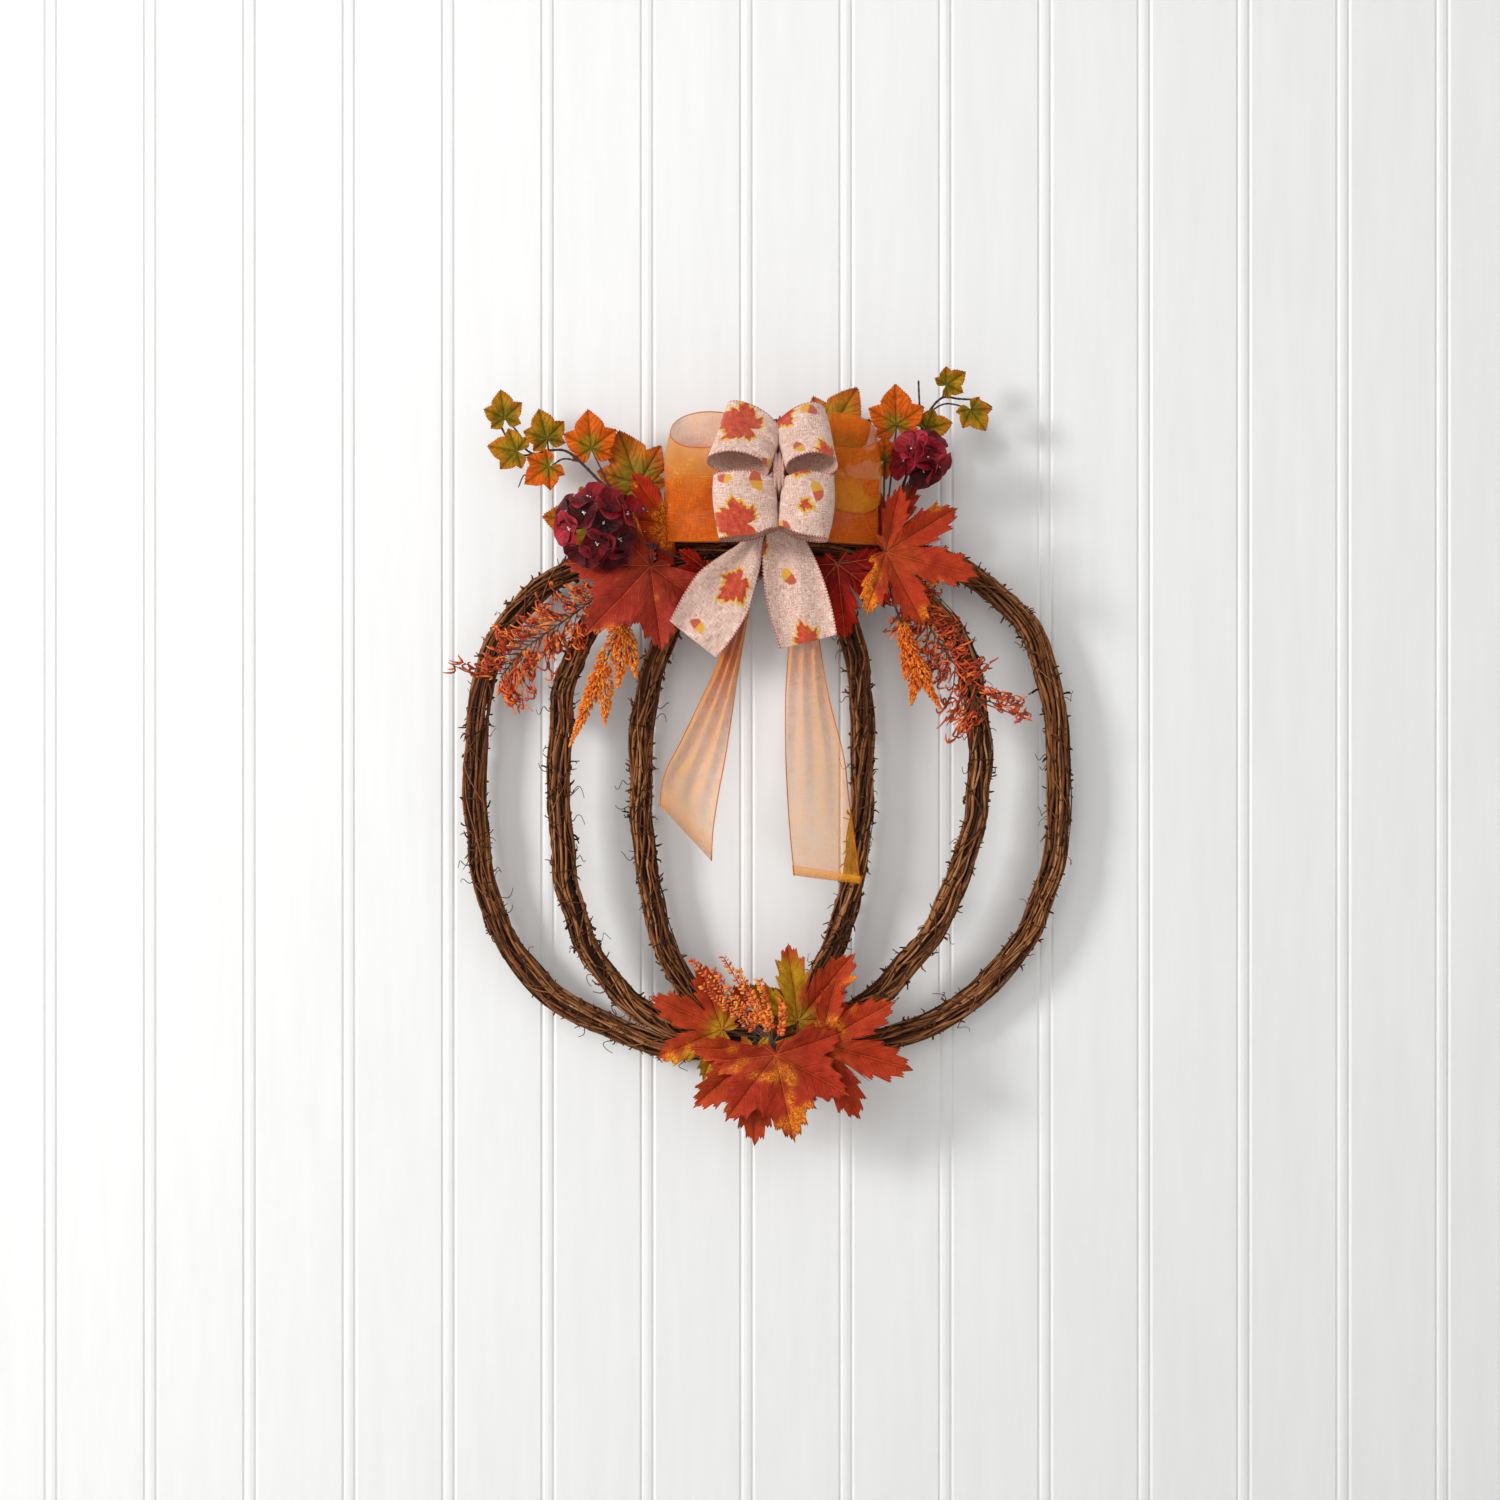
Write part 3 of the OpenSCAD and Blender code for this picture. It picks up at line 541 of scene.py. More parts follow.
def vine_bundle(name, line, length, closed, seed, back_y):
    """Strands lie round a core, others wind over them, and bits stick out, none further back than back_y."""
    b = Build()
    r = random.Random(seed)
    n = len(line)
    s = np.linspace(0, length, n, endpoint=not closed)
    u, w = sides_of(line, closed)

    def at(radius, angle, rows=slice(None)):
        """Points about the bundle's own line, or about some of its rows."""
        around = np.cos(angle)[:, None] * u[rows] + np.sin(angle)[:, None] * w[rows]
        return line[rows] + radius[:, None] * around

    def twig(path, thick, sides, tone):
        path[:, 1] = np.minimum(path[:, 1], back_y)
        sweep(b, path, thick, sides, tint=tone)

    if closed:
        line = line + MM * np.stack([1.6 * ripple(s, length, seed + 5, (7, 11, 16, 23)), 0 * s,
                                     1.6 * ripple(s, length, seed + 6, (6, 12, 17, 21))], 1)
    # The core gets the darkest bark colour: painted shade in the gaps between the strands.
    sweep(b, line, 7.0 * MM, 8, closed, tint=0.0)
    for k in range(INNER_STRANDS + OUTER_STRANDS):
        inner = k < INNER_STRANDS
        count = INNER_STRANDS if inner else OUTER_STRANDS
        angle = TAU * k / count + TAU * r.choice((0, 1, 1, 2)) * s / length \
            + 0.34 * ripple(s, length, seed * 31 + k, (2, 5, 9, 14, 29))
        rho = (8.0 if inner else 9.9) * MM + 1.0 * MM * ripple(s, length, seed * 57 + k, (7, 13, 22, 37, 61))
        thick = (r.uniform(1.1, 1.6) if inner else r.uniform(0.75, 1.45)) * MM
        thick = thick * (1 + 0.14 * ripple(s, length, seed + k, (9, 21, 33, 51)))
        for _ in range(int(length / KNUCKLE_EVERY)):
            thick = thick + 0.8 * MM * np.exp(-((s - r.uniform(0, length)) / 0.003) ** 2)
        # Inner strands get the darkest tints, which is painted shade under the outer ones; outer strands vary
        # at random.
        tone = r.uniform(0.0, 0.2) if inner else r.uniform(0.15, 1.05)
        sweep(b, at(np.clip(rho, 6.5 * MM, 11.4 * MM), angle), thick, 5, closed,
              tint=np.clip(tone + 0.18 * ripple(s, length, k, (4, 9, 27)), 0, 1))
    for _ in range(FINE_WINDINGS):
        turns = r.choice((-1, 1)) * int(length / r.uniform(0.05, 0.13))
        angle = TAU * turns * s / length + r.uniform(0, TAU)
        fine = even(at(np.full(n, 11.3 * MM), angle), 4 * MM, closed)[0]
        sweep(b, fine, r.uniform(0.4, 0.8) * MM, 5, closed, tint=r.uniform(0.1, 0.8))
    # Short stems that clasp the bundle and end a little off it.
    for _ in range(int(length / CLASP_EVERY)):
        i = r.randrange(n)
        angle = r.uniform(0, TAU) + np.linspace(0, r.choice((-1, 1)) * r.uniform(1.5, 5.0), 14)
        along = normalised(line[(i + 1) % n] - line[i - 1])
        rise = np.linspace(0, r.uniform(-16, 16) * MM, 14) if closed or 3 < i < n - 4 else np.zeros(14)
        rho = 11.6 * MM + np.maximum(np.arange(14) - 10, 0) * r.uniform(0, 1.2) * MM
        path = line[i] + rho[:, None] * (np.cos(angle)[:, None] * u[i] + np.sin(angle)[:, None] * w[i]) \
            + rise[:, None] * along
        twig(path, r.uniform(0.35, 0.7) * MM, 4, r.uniform(0.0, 0.45))
    # Stray strands that bow out from the surface for a few centimetres.
    for _ in range(int(length / STRAY_EVERY)):
        m = r.randint(8, 24)
        i = r.randrange(n) if closed else r.randint(0, max(n - m - 1, 0))
        rows = (i + np.arange(m)) % n if closed else np.minimum(i + np.arange(m), n - 1)
        t = np.linspace(0, 1, m)
        angle = r.uniform(0, TAU) + r.uniform(-1.8, 1.8) * t
        rho = (10.2 + r.uniform(0.6, 2.4) * np.sin(math.pi * t)) * MM
        twig(at(rho, angle, rows), r.uniform(0.45, 0.95) * MM, 5, r.uniform(0.0, 1.0))
    # Snags, some of them forked.
    for _ in range(int(length / SNAG_EVERY)):
        i = r.randrange(n)
        angle = r.uniform(0, TAU)
        out = math.cos(angle) * u[i] + math.sin(angle) * w[i]
        along = normalised(line[(i + 1) % n] - line[i - 1]) * (1 if closed or 0 < i < n - 1 else 0)
        lean = out * r.uniform(0.25, 1.0) + along * r.uniform(-1, 1)
        size = r.uniform(3, 9) * MM
        base = line[i] + out * r.uniform(8.5, 10.5) * MM + along * r.uniform(-2, 2) * MM
        tip = base + normalised(lean) * size
        mid = (base + tip) / 2 + jitter(r) * size * 0.28
        thick = r.uniform(0.5, 1.35) * MM
        twig(curve_through([base, mid, tip], 4), np.array([0.8, 1.0, r.uniform(0.5, 1.3), 0.5]) * thick, 4,
             r.uniform(0.0, 0.6))
        if r.random() < 0.25:
            side = mid + (tip - base) * 0.35 + jitter(r) * size * 0.6
            side[1] = min(side[1], back_y)
            sweep(b, np.array([mid, (mid + side) / 2, side]), thick * 0.6, 4, tint=r.uniform(0.0, 0.5))
    # Curled tendrils.
    for _ in range(int(length / TENDRIL_EVERY)):
        i = r.randrange(n)
        angle = r.uniform(0, TAU)
        out = math.cos(angle) * u[i] + math.sin(angle) * w[i]
        along = normalised(line[(i + 1) % n] - line[i - 1])
        size, turns = r.uniform(11, 22) * MM, r.uniform(0.5, 1.6)
        t = np.linspace(0, 1, 16)
        bend = np.cross(out, along)
        curl = 0.35 * size * t ** 1.2
        path = line[i] + out * 9 * MM + np.outer(size * t * 0.8, out) \
            + np.outer(curl * np.sin(TAU * turns * t), along) \
            + np.outer(curl * (np.cos(TAU * turns * t) - 1) * 0.7, bend)
        twig(path, np.linspace(0.55, 0.3, 16) * MM, 4, r.uniform(0.0, 0.5))
    piece = b.object(name, [BARK])
    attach(piece, FRAME)
    return piece


for seed, hoop in enumerate(HOOPS, 3):
    line, length = hoop_line(hoop)
    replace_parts(vine_bundle(hoop + "_vines", line, length, True, seed, 0.0005), hoop)

(sx0, sy0, sz0), (sx1, sy1, sz1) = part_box("pumpkin_stem")
stem_r = 8.0 * MM
stem_y = (sy0 + sy1) / 2
stalk_line = curve_through([(sx1 - stem_r, stem_y, sz0), (sx1 - stem_r - 0.002, stem_y, (sz0 + sz1) / 2),
                            (sx0 + stem_r, stem_y, sz1 - 0.002)], 22)
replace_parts(vine_bundle("pumpkin_stem_vines", stalk_line, float(sz1 - sz0), False, 9, 0.0), "pumpkin_stem")


# ---------------------------------------------------------------- leaves

# Half a lobe from its root to its tip: distance out and half-width, for a lobe of length 1.
POINTED = [(0.24, 0.12), (0.40, 0.15), (0.50, 0.18), (0.61, 0.242), (0.605, 0.155), (0.70, 0.168),
           (0.80, 0.19), (0.785, 0.11), (0.86, 0.10), (0.915, 0.095), (0.90, 0.042), (0.94, 0.026),
           (1.0, 0.0)]
ROUNDED = [(0.28, 0.28), (0.46, 0.38), (0.57, 0.375), (0.70, 0.30), (0.82, 0.185), (0.92, 0.085), (1.0, 0.0)]
BROAD = [(0.32, 0.24), (0.47, 0.325), (0.56, 0.345), (0.67, 0.275), (0.78, 0.20), (0.88, 0.12), (0.96, 0.05),
         (1.0, 0.0)]
FULL = [(0.24, 0.16), (0.40, 0.22), (0.52, 0.27), (0.64, 0.30), (0.635, 0.20), (0.72, 0.18), (0.82, 0.185),
        (0.805, 0.11), (0.87, 0.10), (0.92, 0.088), (0.905, 0.042), (0.94, 0.026), (1.0, 0.0)]
# A shape is its half lobe, its radius round the junction, and its lobes' (direction, length).
SHAPES = {
    "full_maple": (FULL, 0.20, [(-137, .22), (-96, .80), (-50, .92), (0, 1), (50, .92), (96, .80),
                                (137, .22)]),
    "maple": (POINTED, 0.17, [(-137, .22), (-93, .70), (-47, .90), (0, 1), (47, .90), (93, .70), (137, .22)]),
    "ivy": (ROUNDED, 0.36, [(-116, .60), (-58, .80), (0, 1), (58, .80), (116, .60)]),
    "gold": (BROAD, 0.36, [(-108, .50), (-52, .76), (0, 1), (52, .76), (108, .50)]),
}


def lobe_reach(half, away):
    """How far a lobe of length 1 reaches in a direction away from its own, in degrees."""
    pts = np.array(half + [half[-1]])
    dense = np.concatenate([np.linspace(pts[i], pts[i + 1], 24) for i in range(len(pts) - 1)])
    angle = np.degrees(np.arctan2(dense[:, 1], dense[:, 0]))
    reach = np.hypot(dense[:, 0], dense[:, 1])
    order = np.argsort(angle)
    return np.interp(np.abs(away), angle[order], reach[order], right=0.0)


def outline(shape, degrees, teeth=0.0, pitch=0.035):
    """Radius of a leaf of size 1 in each direction from its junction."""
    half, heart, lobes = SHAPES[shape]
    radius = heart * smooth(180 - np.abs(degrees), 4, 40)
    for way, size in lobes:
        away = (degrees - way + 180) % 360 - 180
        radius = np.maximum(radius, size * lobe_reach(half, away))
    radius = np.maximum(radius, 0.04)
    if teeth:
        x, y = radius * np.cos(np.radians(degrees)), radius * np.sin(np.radians(degrees))
        d = np.concatenate([[0], np.cumsum(np.hypot(np.diff(x), np.diff(y)))])
        radius = radius * (1 - teeth * ((d / pitch) % 1.0))
    return radius


def blade(build, shape, junction, size, direction, tint, fold, bends, tilt, seed):
    """A leaf's blade. Its front faces -Y. tint(x, y, rad, out, seed) gives the ground colours."""
    r = random.Random(seed * 13 + 5)
    turns, rings = (560, 15) if size > 0.05 else (320, 10)
    degrees = np.linspace(-178, 178, turns)
    edge = outline(shape, degrees, 0.05, 0.0028 / size) * size
    share = (np.arange(1, rings + 1) / rings) ** 0.85
    ang = np.radians(degrees)
    x = np.concatenate([[0], (share[:, None] * edge * np.cos(ang)).ravel()])
    y = np.concatenate([[0], (share[:, None] * edge * np.sin(ang)).ravel()])
    out = np.concatenate([[0], np.repeat(share, turns)])
    here = np.degrees(np.arctan2(y, x))
    far = np.hypot(x, y)
    lobes = SHAPES[shape][2]
    run, rib, height, weight = np.zeros(len(x)), np.full(len(x), 1e9), np.zeros(len(x)), np.zeros(len(x))
    nearest = np.full(len(x), 1e9)
    for way, length in lobes:
        c, s = math.cos(math.radians(way)), math.sin(math.radians(way))
        a, d = x * c + y * s, np.abs(y * c - x * s)
        away = np.abs((here - way + 180) % 360 - 180)
        closer = away < nearest
        nearest = np.where(closer, away, nearest)
        run, rib = np.where(closer, a, run), np.where(closer, d, rib)
        w = np.exp(-(away / 21) ** 2) + 1e-6
        bend = r.uniform(-1, 1) * bends
        height += w * (bend * far ** 2 / (length * size) + fold * d * smooth(far, 0, 0.3 * size)
                       + r.uniform(-1, 1) * 0.12 * d)
        weight += w
    height /= weight
    height += 0.32 * MM * np.sin(TAU * (run - 1.15 * rib) / (0.095 * size + 0.002)) * smooth(rib, 0, 0.003)
    height -= 0.9 * MM * np.exp(-(rib / 0.0020) ** 2)
    height += 0.042 * size * wander(np.stack([x, y, 0 * x], 1), 30, seed)
    height += x * math.tan(math.radians(tilt[0])) + y * math.tan(math.radians(tilt[1]))
    c, s = math.cos(math.radians(direction)), math.sin(math.radians(direction))
    verts = np.stack([junction[0] + x * c - y * s, junction[1] - height, junction[2] + x * s + y * c], 1)
    quads = 1 + grid_quads(rings, turns)[:, OTHER_WAY]
    fan = np.stack([np.zeros(turns - 1, int), 1 + np.arange(turns - 1), 2 + np.arange(turns - 1)], 1)
    colours, glitter = tint(x / size, y / size, far / size, out, seed)
    build.add(verts, quads, fan, rib=np.minimum(rib, 1), run=run, out=out, tint=colours, glitter=glitter)


def shades(heart, body, rim, patch="#f08a20", patches=0.0, heart_size=0.35, rim_from=0.6, half=None,
           slope=0.45):
    """A leaf's ground: one colour at its heart, one over its body, one at its rim, and patches.
    half is the colour of its left lobes, if they differ."""
    heart, body, rim, patch = (colour(c) for c in (heart, body, rim, patch))

    def tint(x, y, rad, out, seed):
        spots = np.stack([x, y, 0 * x], 1)
        broad = wander(spots, 2.2, seed)
        fine = wander(spots, 7.0, seed + 3)
        c = body + (heart - body) * smooth(heart_size - rad + 0.12 * broad, -0.12, 0.15)[:, None]
        c = c + (rim - c) * (smooth(out + 0.14 * broad, rim_from, 1.0) * 0.9)[:, None]
        if half:
            share = smooth(y - slope * x + 0.06 * broad, 0.0, 0.10) * smooth(1.0 - rad + 0.2 * fine, 0.1, 0.5)
            c = c + (colour(half) * (1 - 0.25 * fine[:, None]) - c) * share[:, None]
        mark = smooth(broad + 0.5 * fine, 0.75 - patches, 1.15 - patches) * (patches > 0)
        c = c + (patch - c) * (0.16 * mark)[:, None]
        return np.clip(c * (1 + 0.16 * fine[:, None]), 0, 1), mark

    return tint


LOOKS = {
    "brick": shades("#a03016", "#b6361e", "#be4020", "#e8922a", patches=0.15),
    "dusty": shades("#98301c", "#ac3426", "#b8402e", "#d87a2a", patches=0.12),
    "fleck": shades("#ac3a1c", "#b4341e", "#bc3c20", "#c8951c", patches=0.46),
    "glitter": shades("#b8451c", "#bb3a1c", "#c4421f", "#ec9a2c", patches=0.40),
    "dark": shades("#760a04", "#980f04", "#ac1806", patches=0.0),
    "orange_red": shades("#c24408", "#bc2c08", "#b0260c", "#ea7c1a", patches=0.30),
    "olive_left": shades("#b08c1c", "#b8401c", "#c0451f", "#e8922a", 0.25, 0.22, half="#bd9016"),
    "olive_low": shades("#bd9016", "#b8401c", "#c0451f", "#e8922a", 0.25, 0.26, half="#bd9016", slope=1.3),
    "gold": shades("#947e1e", "#bc7c18", "#cc6818", "#6e3c2a", 0.30, 0.42, 0.5),
    "gold_yellow": shades("#a8841a", "#c08a18", "#c4601a", "#d8a42a", 0.3, 0.5, 0.65),
    "ivy_olive": shades("#887412", "#b48810", "#c87410", "#6e6614", 0.30, 0.42, 0.65),
    "ivy_orange": shades("#9c7e16", "#dc6410", "#ea6a12", "#e08a1c", 0.30, 0.30, 0.5),
}

# (node, shape, x and z of the junction in mm, length in mm, direction, what holds it on its side, look,
#  fold, bend, tilt along and across)
LEAVES = [
    ("left_maple_leaf_lower", "full_maple", -112, -54, 93, -132, "pick_stem", "dusty", .34, .24, (2, 0)),
    ("left_maple_leaf_upper", "maple", -95, -13, 72, 172, "pick_stem", "orange_red", .34, .20, (0, 0)),
    ("left_maple_leaf_inner", "maple", -56, -58, 52, -122, "pick_stem", "dark", .32, .20, (0, 0)),
    ("left_gold_leaf_upper", "gold", -125, 29, 58, 111, "pick_stem", "gold", .2, .14, (0, 0)),
    ("left_gold_leaf_lower", "gold", -161, -13, 60, 170, "pick_stem", "gold", .2, .14, (0, 0)),
    ("left_ivy_leaf_top", "ivy", -254, 91, 29, 98, "ivy_branch", "ivy_olive", .25, .12, (8, -6)),
    ("left_ivy_leaf_tip", "ivy", -242, 59, 31, 169, "ivy_branch", "ivy_olive", .25, .12, (-6, 6)),
    ("left_ivy_leaf_upper", "ivy", -213, 71, 31, 105, "ivy_branch", "ivy_olive", .30, .14, (6, 6)),
    ("left_ivy_leaf_lower", "ivy", -211, 44, 30, -144, "ivy_branch", "ivy_orange", .15, .12, (6, 0)),
    ("left_ivy_leaf_orange", "ivy", -170, 62, 39, 95, "ivy_branch", "ivy_orange", .15, .12, (5, -4)),
    ("right_gold_leaf_upper", "gold", 59, 76, 56, 58, "pick_stem", "gold_yellow", .2, .14, (0, 0)),
    ("right_gold_leaf_lower", "gold", 66, 60, 47, 41, "pick_stem", "gold_yellow", .2, .12, (0, 0)),
    ("right_orange_leaf_upper", "ivy", 125, 84, 41, 92, "pick_stem", "ivy_orange", .15, .12, (2, 0)),
    ("right_orange_leaf_lower", "ivy", 113, 49, 31, 32, "pick_stem", "ivy_orange", .15, .08, (0, 0)),
    ("right_ivy_leaf_top", "ivy", 174, 124, 23, 34, "ivy_branch", "ivy_olive", .22, .12, (6, 4)),
    ("right_ivy_leaf_tip", "ivy", 198, 100, 26, -57, "ivy_branch", "ivy_olive", .22, .12, (6, 0)),
    ("right_ivy_leaf_lower", "ivy", 154, 82, 27, 11, "ivy_branch", "ivy_olive", .22, .12, (4, 4)),
    ("right_maple_leaf_upper", "maple", 118, -24, 63, 66, "pick_stem", "brick", .34, .20, (0, 0)),
    ("right_maple_leaf_outer", "maple", 113, -42, 93, -15, "pick_stem", "glitter", .34, .24, (-3, 0)),
    ("right_maple_leaf_inner", "maple", 67, -52, 76, -84, "pick_stem", "dark", .30, .14, (0, 0)),
    ("bottom_maple_leaf_left", "maple", -43, -499, 80, 156, "pick_stem", "olive_low", .32, .20, (0, 0)),
    ("bottom_maple_leaf_upper", "maple", 30, -490, 88, 51, "pick_stem", "olive_left", .32, .18, (0, 0)),
    ("bottom_maple_leaf_right", "maple", 51, -510, 94, -16, "pick_stem", "glitter", .34, .22, (0, 0)),
    ("bottom_maple_leaf_front", "full_maple", 8, -520, 88, -78, "pick_stem", "fleck", .36, .22, (2, 0)),
    ("bottom_maple_leaf_under", "maple", -12, -517, 92, -90, "pick_stem", "olive_low", .26, .12, (0, 0)),
    ("bottom_gold_leaf", "gold", 22, -488, 44, 135, "pick_stem", "gold_yellow", .12, .05, (0, 0)),
]

for seed, (node, shape, jx, jz, size, way, held_by, look, fold, bend, tilt) in enumerate(LEAVES, 20):
    (x0, y0, z0), (x1, y1, z1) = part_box(node)
    b = Build()
    junction = np.array([jx * MM, y0 + 0.3 * MM, jz * MM])
    blade(b, shape, junction, size * MM, way, LOOKS[look], fold, bend, tilt, seed)
    root = np.array([junction[0], y1, junction[2]])
    if held_by == "pick_stem":
        root = np.mean(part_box(node.split("_")[0] + "_pick_stem"), axis=0)
        root[1] = y1 - 0.8 * MM
    start = junction + np.array([0, 0.9 * MM, 0])
    path = curve_through([start, (start + root) / 2 + np.array([0, 0.3 * MM, 0]), root], 8)
    sweep(b, path, 0.75 * MM, 6, mat=1, tint=0.45)
    kind = shape.replace("full_", "")
    cloth = {"maple": MAPLE, "gold": GOLD, "ivy": IVY}[kind]
    piece = b.object(node + "_cloth", [cloth, STEM])
    cloth_shell(piece, LEAF_T)
    stand_in(piece, node)


# ---------------------------------------------------------------- ribbons

RIBBON_W = 62 * MM


def prints_at(across, along, marks, acorns):
    """How far inside the nearest printed leaf or acorn each point of the cloth is, in metres."""
    leaf = np.full(across.shape, -1.0)
    for mx, my, size, turn in marks:
        dx, dy = across - mx * MM, along - my * MM
        angle = (np.degrees(np.arctan2(dy, dx)) - turn + 180) % 360 - 180
        reach = outline("gold", angle.ravel()).reshape(angle.shape)
        reach = reach * (1 + 0.07 * np.sin(np.radians(angle) * 23))
        leaf = np.maximum(leaf, reach * size * MM - np.hypot(dx, dy))
    acorn, cap = np.full(across.shape, -1.0), np.zeros(across.shape)
    for mx, my, size, turn in acorns:
        dx, dy = across - mx * MM, along - my * MM
        c, s = math.cos(math.radians(turn)), math.sin(math.radians(turn))
        p, q = (dx * c + dy * s) / (size * MM), (dy * c - dx * s) / (size * MM)
        inside = (1 - np.hypot(p, q * 1.7 + 0.35 * p * p)) * size * 0.6 * MM
        cap = np.where(inside > acorn, p * size * MM, cap)
        acorn = np.maximum(acorn, inside)
    return leaf, acorn, cap


def ribbon(node, grid, mats, body, marks, acorns, density, deep, turned_over=False):
    """grid is (along, across, 3). The cloth's own coordinates run over its flat length and width."""
    rows, cols = grid.shape[:2]
    b = Build()
    al, ac = np.meshgrid(distances(grid[:, cols // 2]), np.linspace(-RIBBON_W / 2, RIBBON_W / 2, cols),
                         indexing="ij")
    leaf, acorn, cap = prints_at(ac, al, marks, acorns)
    hem = RIBBON_W / 2 - np.abs(ac)
    quads = grid_quads(rows, cols)
    if turned_over:
        quads = quads[:, ::-1]
    extra = {}
    if density is not None:
        # The cloth has two faces, so each one covers less than the cloth does.
        extra["cover"] = 1 - np.sqrt(1 - np.broadcast_to(density, (rows, cols)).reshape(-1))
        # How much of the deeper sheer colour is used: painted shade where layers overlap.
        extra["deep"] = deep
    b.add(grid.reshape(-1, 3), quads, cloth=np.stack([ac, al, 0 * al], -1).reshape(-1, 3),
          leaf_print=leaf.ravel(), acorn_print=acorn.ravel(), acorn_cap=cap.ravel(), hem=hem.ravel(), **extra)
    piece = b.object(node + "_cloth", mats)
    cloth_shell(piece, RIBBON_T, reverse=len(mats) - 1)
    if body == FRAME:  # a streamer is left unattached
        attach(piece, body)
    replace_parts(piece, node)
    return piece


def turned(points, axis, degrees, about):
    """Points turned about an axis-parallel line."""
    c, s = math.cos(math.radians(degrees)), math.sin(math.radians(degrees))
    i, j = {"x": (1, 2), "y": (2, 0), "z": (0, 1)}[axis]
    q = points - about
    p, r = q[..., i] * c - q[..., j] * s, q[..., i] * s + q[..., j] * c
    q = q.copy()
    q[..., i], q[..., j] = p, r
    return q + about


def bow_loop(node, side, lift, lean, seed, mats, slot, depth, pinch, marks=(), acorns=(), density=None,
             drop=0.0, lower=0.0, arch=0.0):
    """A loop from the knot out and back. lift and lean turn it in the picture and towards the viewer,
    drop is how much lower its front layer hangs than its back one, and arch is how far its front
    layer's lower edge rises in the middle."""
    (x0, y0, z0), (x1, y1, z1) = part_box(node)
    half_l, half_d, mid_z = (x1 - x0) / 2, (y1 - y0) / 2 * depth, (z0 + z1) / 2 - lower * MM
    root_x = x1 if side < 0 else x0
    cols, rows = 84, 230
    turn = np.linspace(0.04, TAU - 0.04, rows)[:, None]
    v = np.linspace(-1, 1, cols)[None, :]
    out = (1 - np.cos(turn)) / 2
    squeeze = np.exp(-(out / 0.30) ** 2)
    full = 1 - pinch * squeeze
    x = root_x + side * 2 * half_l * (0.98 * out) + 0 * v
    y = (y0 + y1) / 2 - half_d * np.sign(np.sin(turn)) * np.abs(np.sin(turn)) ** 0.62 + 0 * v
    z = mid_z + v * RIBBON_W / 2 * full - drop * MM * (0.5 + 0.5 * np.sin(turn)) * out ** 0.6
    z = z + arch * MM * smooth(-v, -0.4, 1.0) * np.maximum(np.sin(turn), 0) * np.sin(math.pi * out) ** 0.7
    pleat = squeeze * (1.6 * np.sin(v * 7 + seed) + 0.9 * np.sin(v * 13 + 2 * seed))
    y = y + MM * pleat * np.sign(np.sin(turn) + 1e-9) * -1
    y = y + 1.2 * MM * np.sin(turn * 2.0 + seed + 1.4 * v) * (1 - squeeze)
    x = x + side * MM * (1.4 * np.sin(2.1 * v + seed) * out - 1.2 * v ** 2 * out)
    grid = np.stack(np.broadcast_arrays(x, y, z), -1)
    dents = wander(grid.reshape(-1, 3), 45, seed).reshape(rows, cols)
    grid[..., 1] += 1.8 * MM * dents * (1 - squeeze)
    middle = np.array([(x0 + x1) / 2, (y0 + y1) / 2, mid_z])
    grid = turned(grid, "x", lean, middle)
    grid = turned(grid, "y", lift * -side, middle)
    if side > 0:
        grid = grid[:, ::-1]
    dense = None if density is None else np.minimum(density * (1 + 0.25 * squeeze), 0.95)
    low = smooth(-v, -0.5, 0.5) + 0 * turn
    if density is not None:
        dense = np.minimum(dense * (0.92 + 0.2 * low), 0.95)
    # Sheer loops take the deeper colour as painted shade for their two layers. A loop with a drop takes it
    # mostly towards its lower edge, where its front layer hangs over its back one.
    deep = (0.1 + 0.85 * low if drop else np.ones((rows, cols))).ravel()
    piece = ribbon(node, grid, mats, FRAME, marks, acorns, dense, deep)
    return piece


SHEER = dict(mats=[ORGANZA], slot="sheer_ribbon")
PRINTED = dict(mats=[LINEN, SHADED_LINEN_BACK], slot="printed_ribbon")

bow_loop("sheer_loop_upper_left", -1, 6, 8, 1.0, **SHEER, density=0.70, pinch=0.4, depth=1.0, drop=46)
bow_loop("sheer_loop_upper_right", 1, 3, 6, 2.0, **SHEER, density=0.66, pinch=0.4, depth=1.0, drop=46)
bow_loop("sheer_loop_lower_left", -1, 1, 2, 3.0, **SHEER, density=0.80, pinch=0.4, depth=0.6)
bow_loop("sheer_loop_lower_right", 1, -3, 2, 4.0, **SHEER, density=0.80, pinch=0.4, depth=0.6)
# A mark is a printed leaf's place across and along the ribbon, its size and its direction.
bow_loop("printed_loop_upper_left", -1, 19, -26, 5.0, **PRINTED, depth=0.95, pinch=0.24, lower=4, arch=9,
         marks=[(6, 38, 42, 80), (-6, 108, 30, 200)], acorns=[(-27, 10, 8, 120)])
bow_loop("printed_loop_upper_right", 1, 14, -26, 6.0, **PRINTED, depth=0.95, pinch=0.24, lower=4, arch=9,
         marks=[(30, 52, 20, 200), (-32, 16, 22, 20), (6, 96, 24, 100)],
         acorns=[(-24, 42, 9, 60), (20, 24, 9, 200)])
bow_loop("printed_loop_lower_left", -1, -3, -4, 7.0, **PRINTED, depth=0.95, pinch=0.24,
         marks=[(-20, 38, 42, 80), (6, 104, 30, 30)], acorns=[(22, 26, 11, 10), (24, 56, 8, 80)])
bow_loop("printed_loop_lower_right", 1, -6, -4, 8.0, **PRINTED, depth=0.95, pinch=0.24,
         marks=[(2, 28, 15, 80), (-36, 20, 18, 60), (12, 92, 24, 300)],
         acorns=[(28, 12, 9, 100), (-12, 42, 10, 20)])

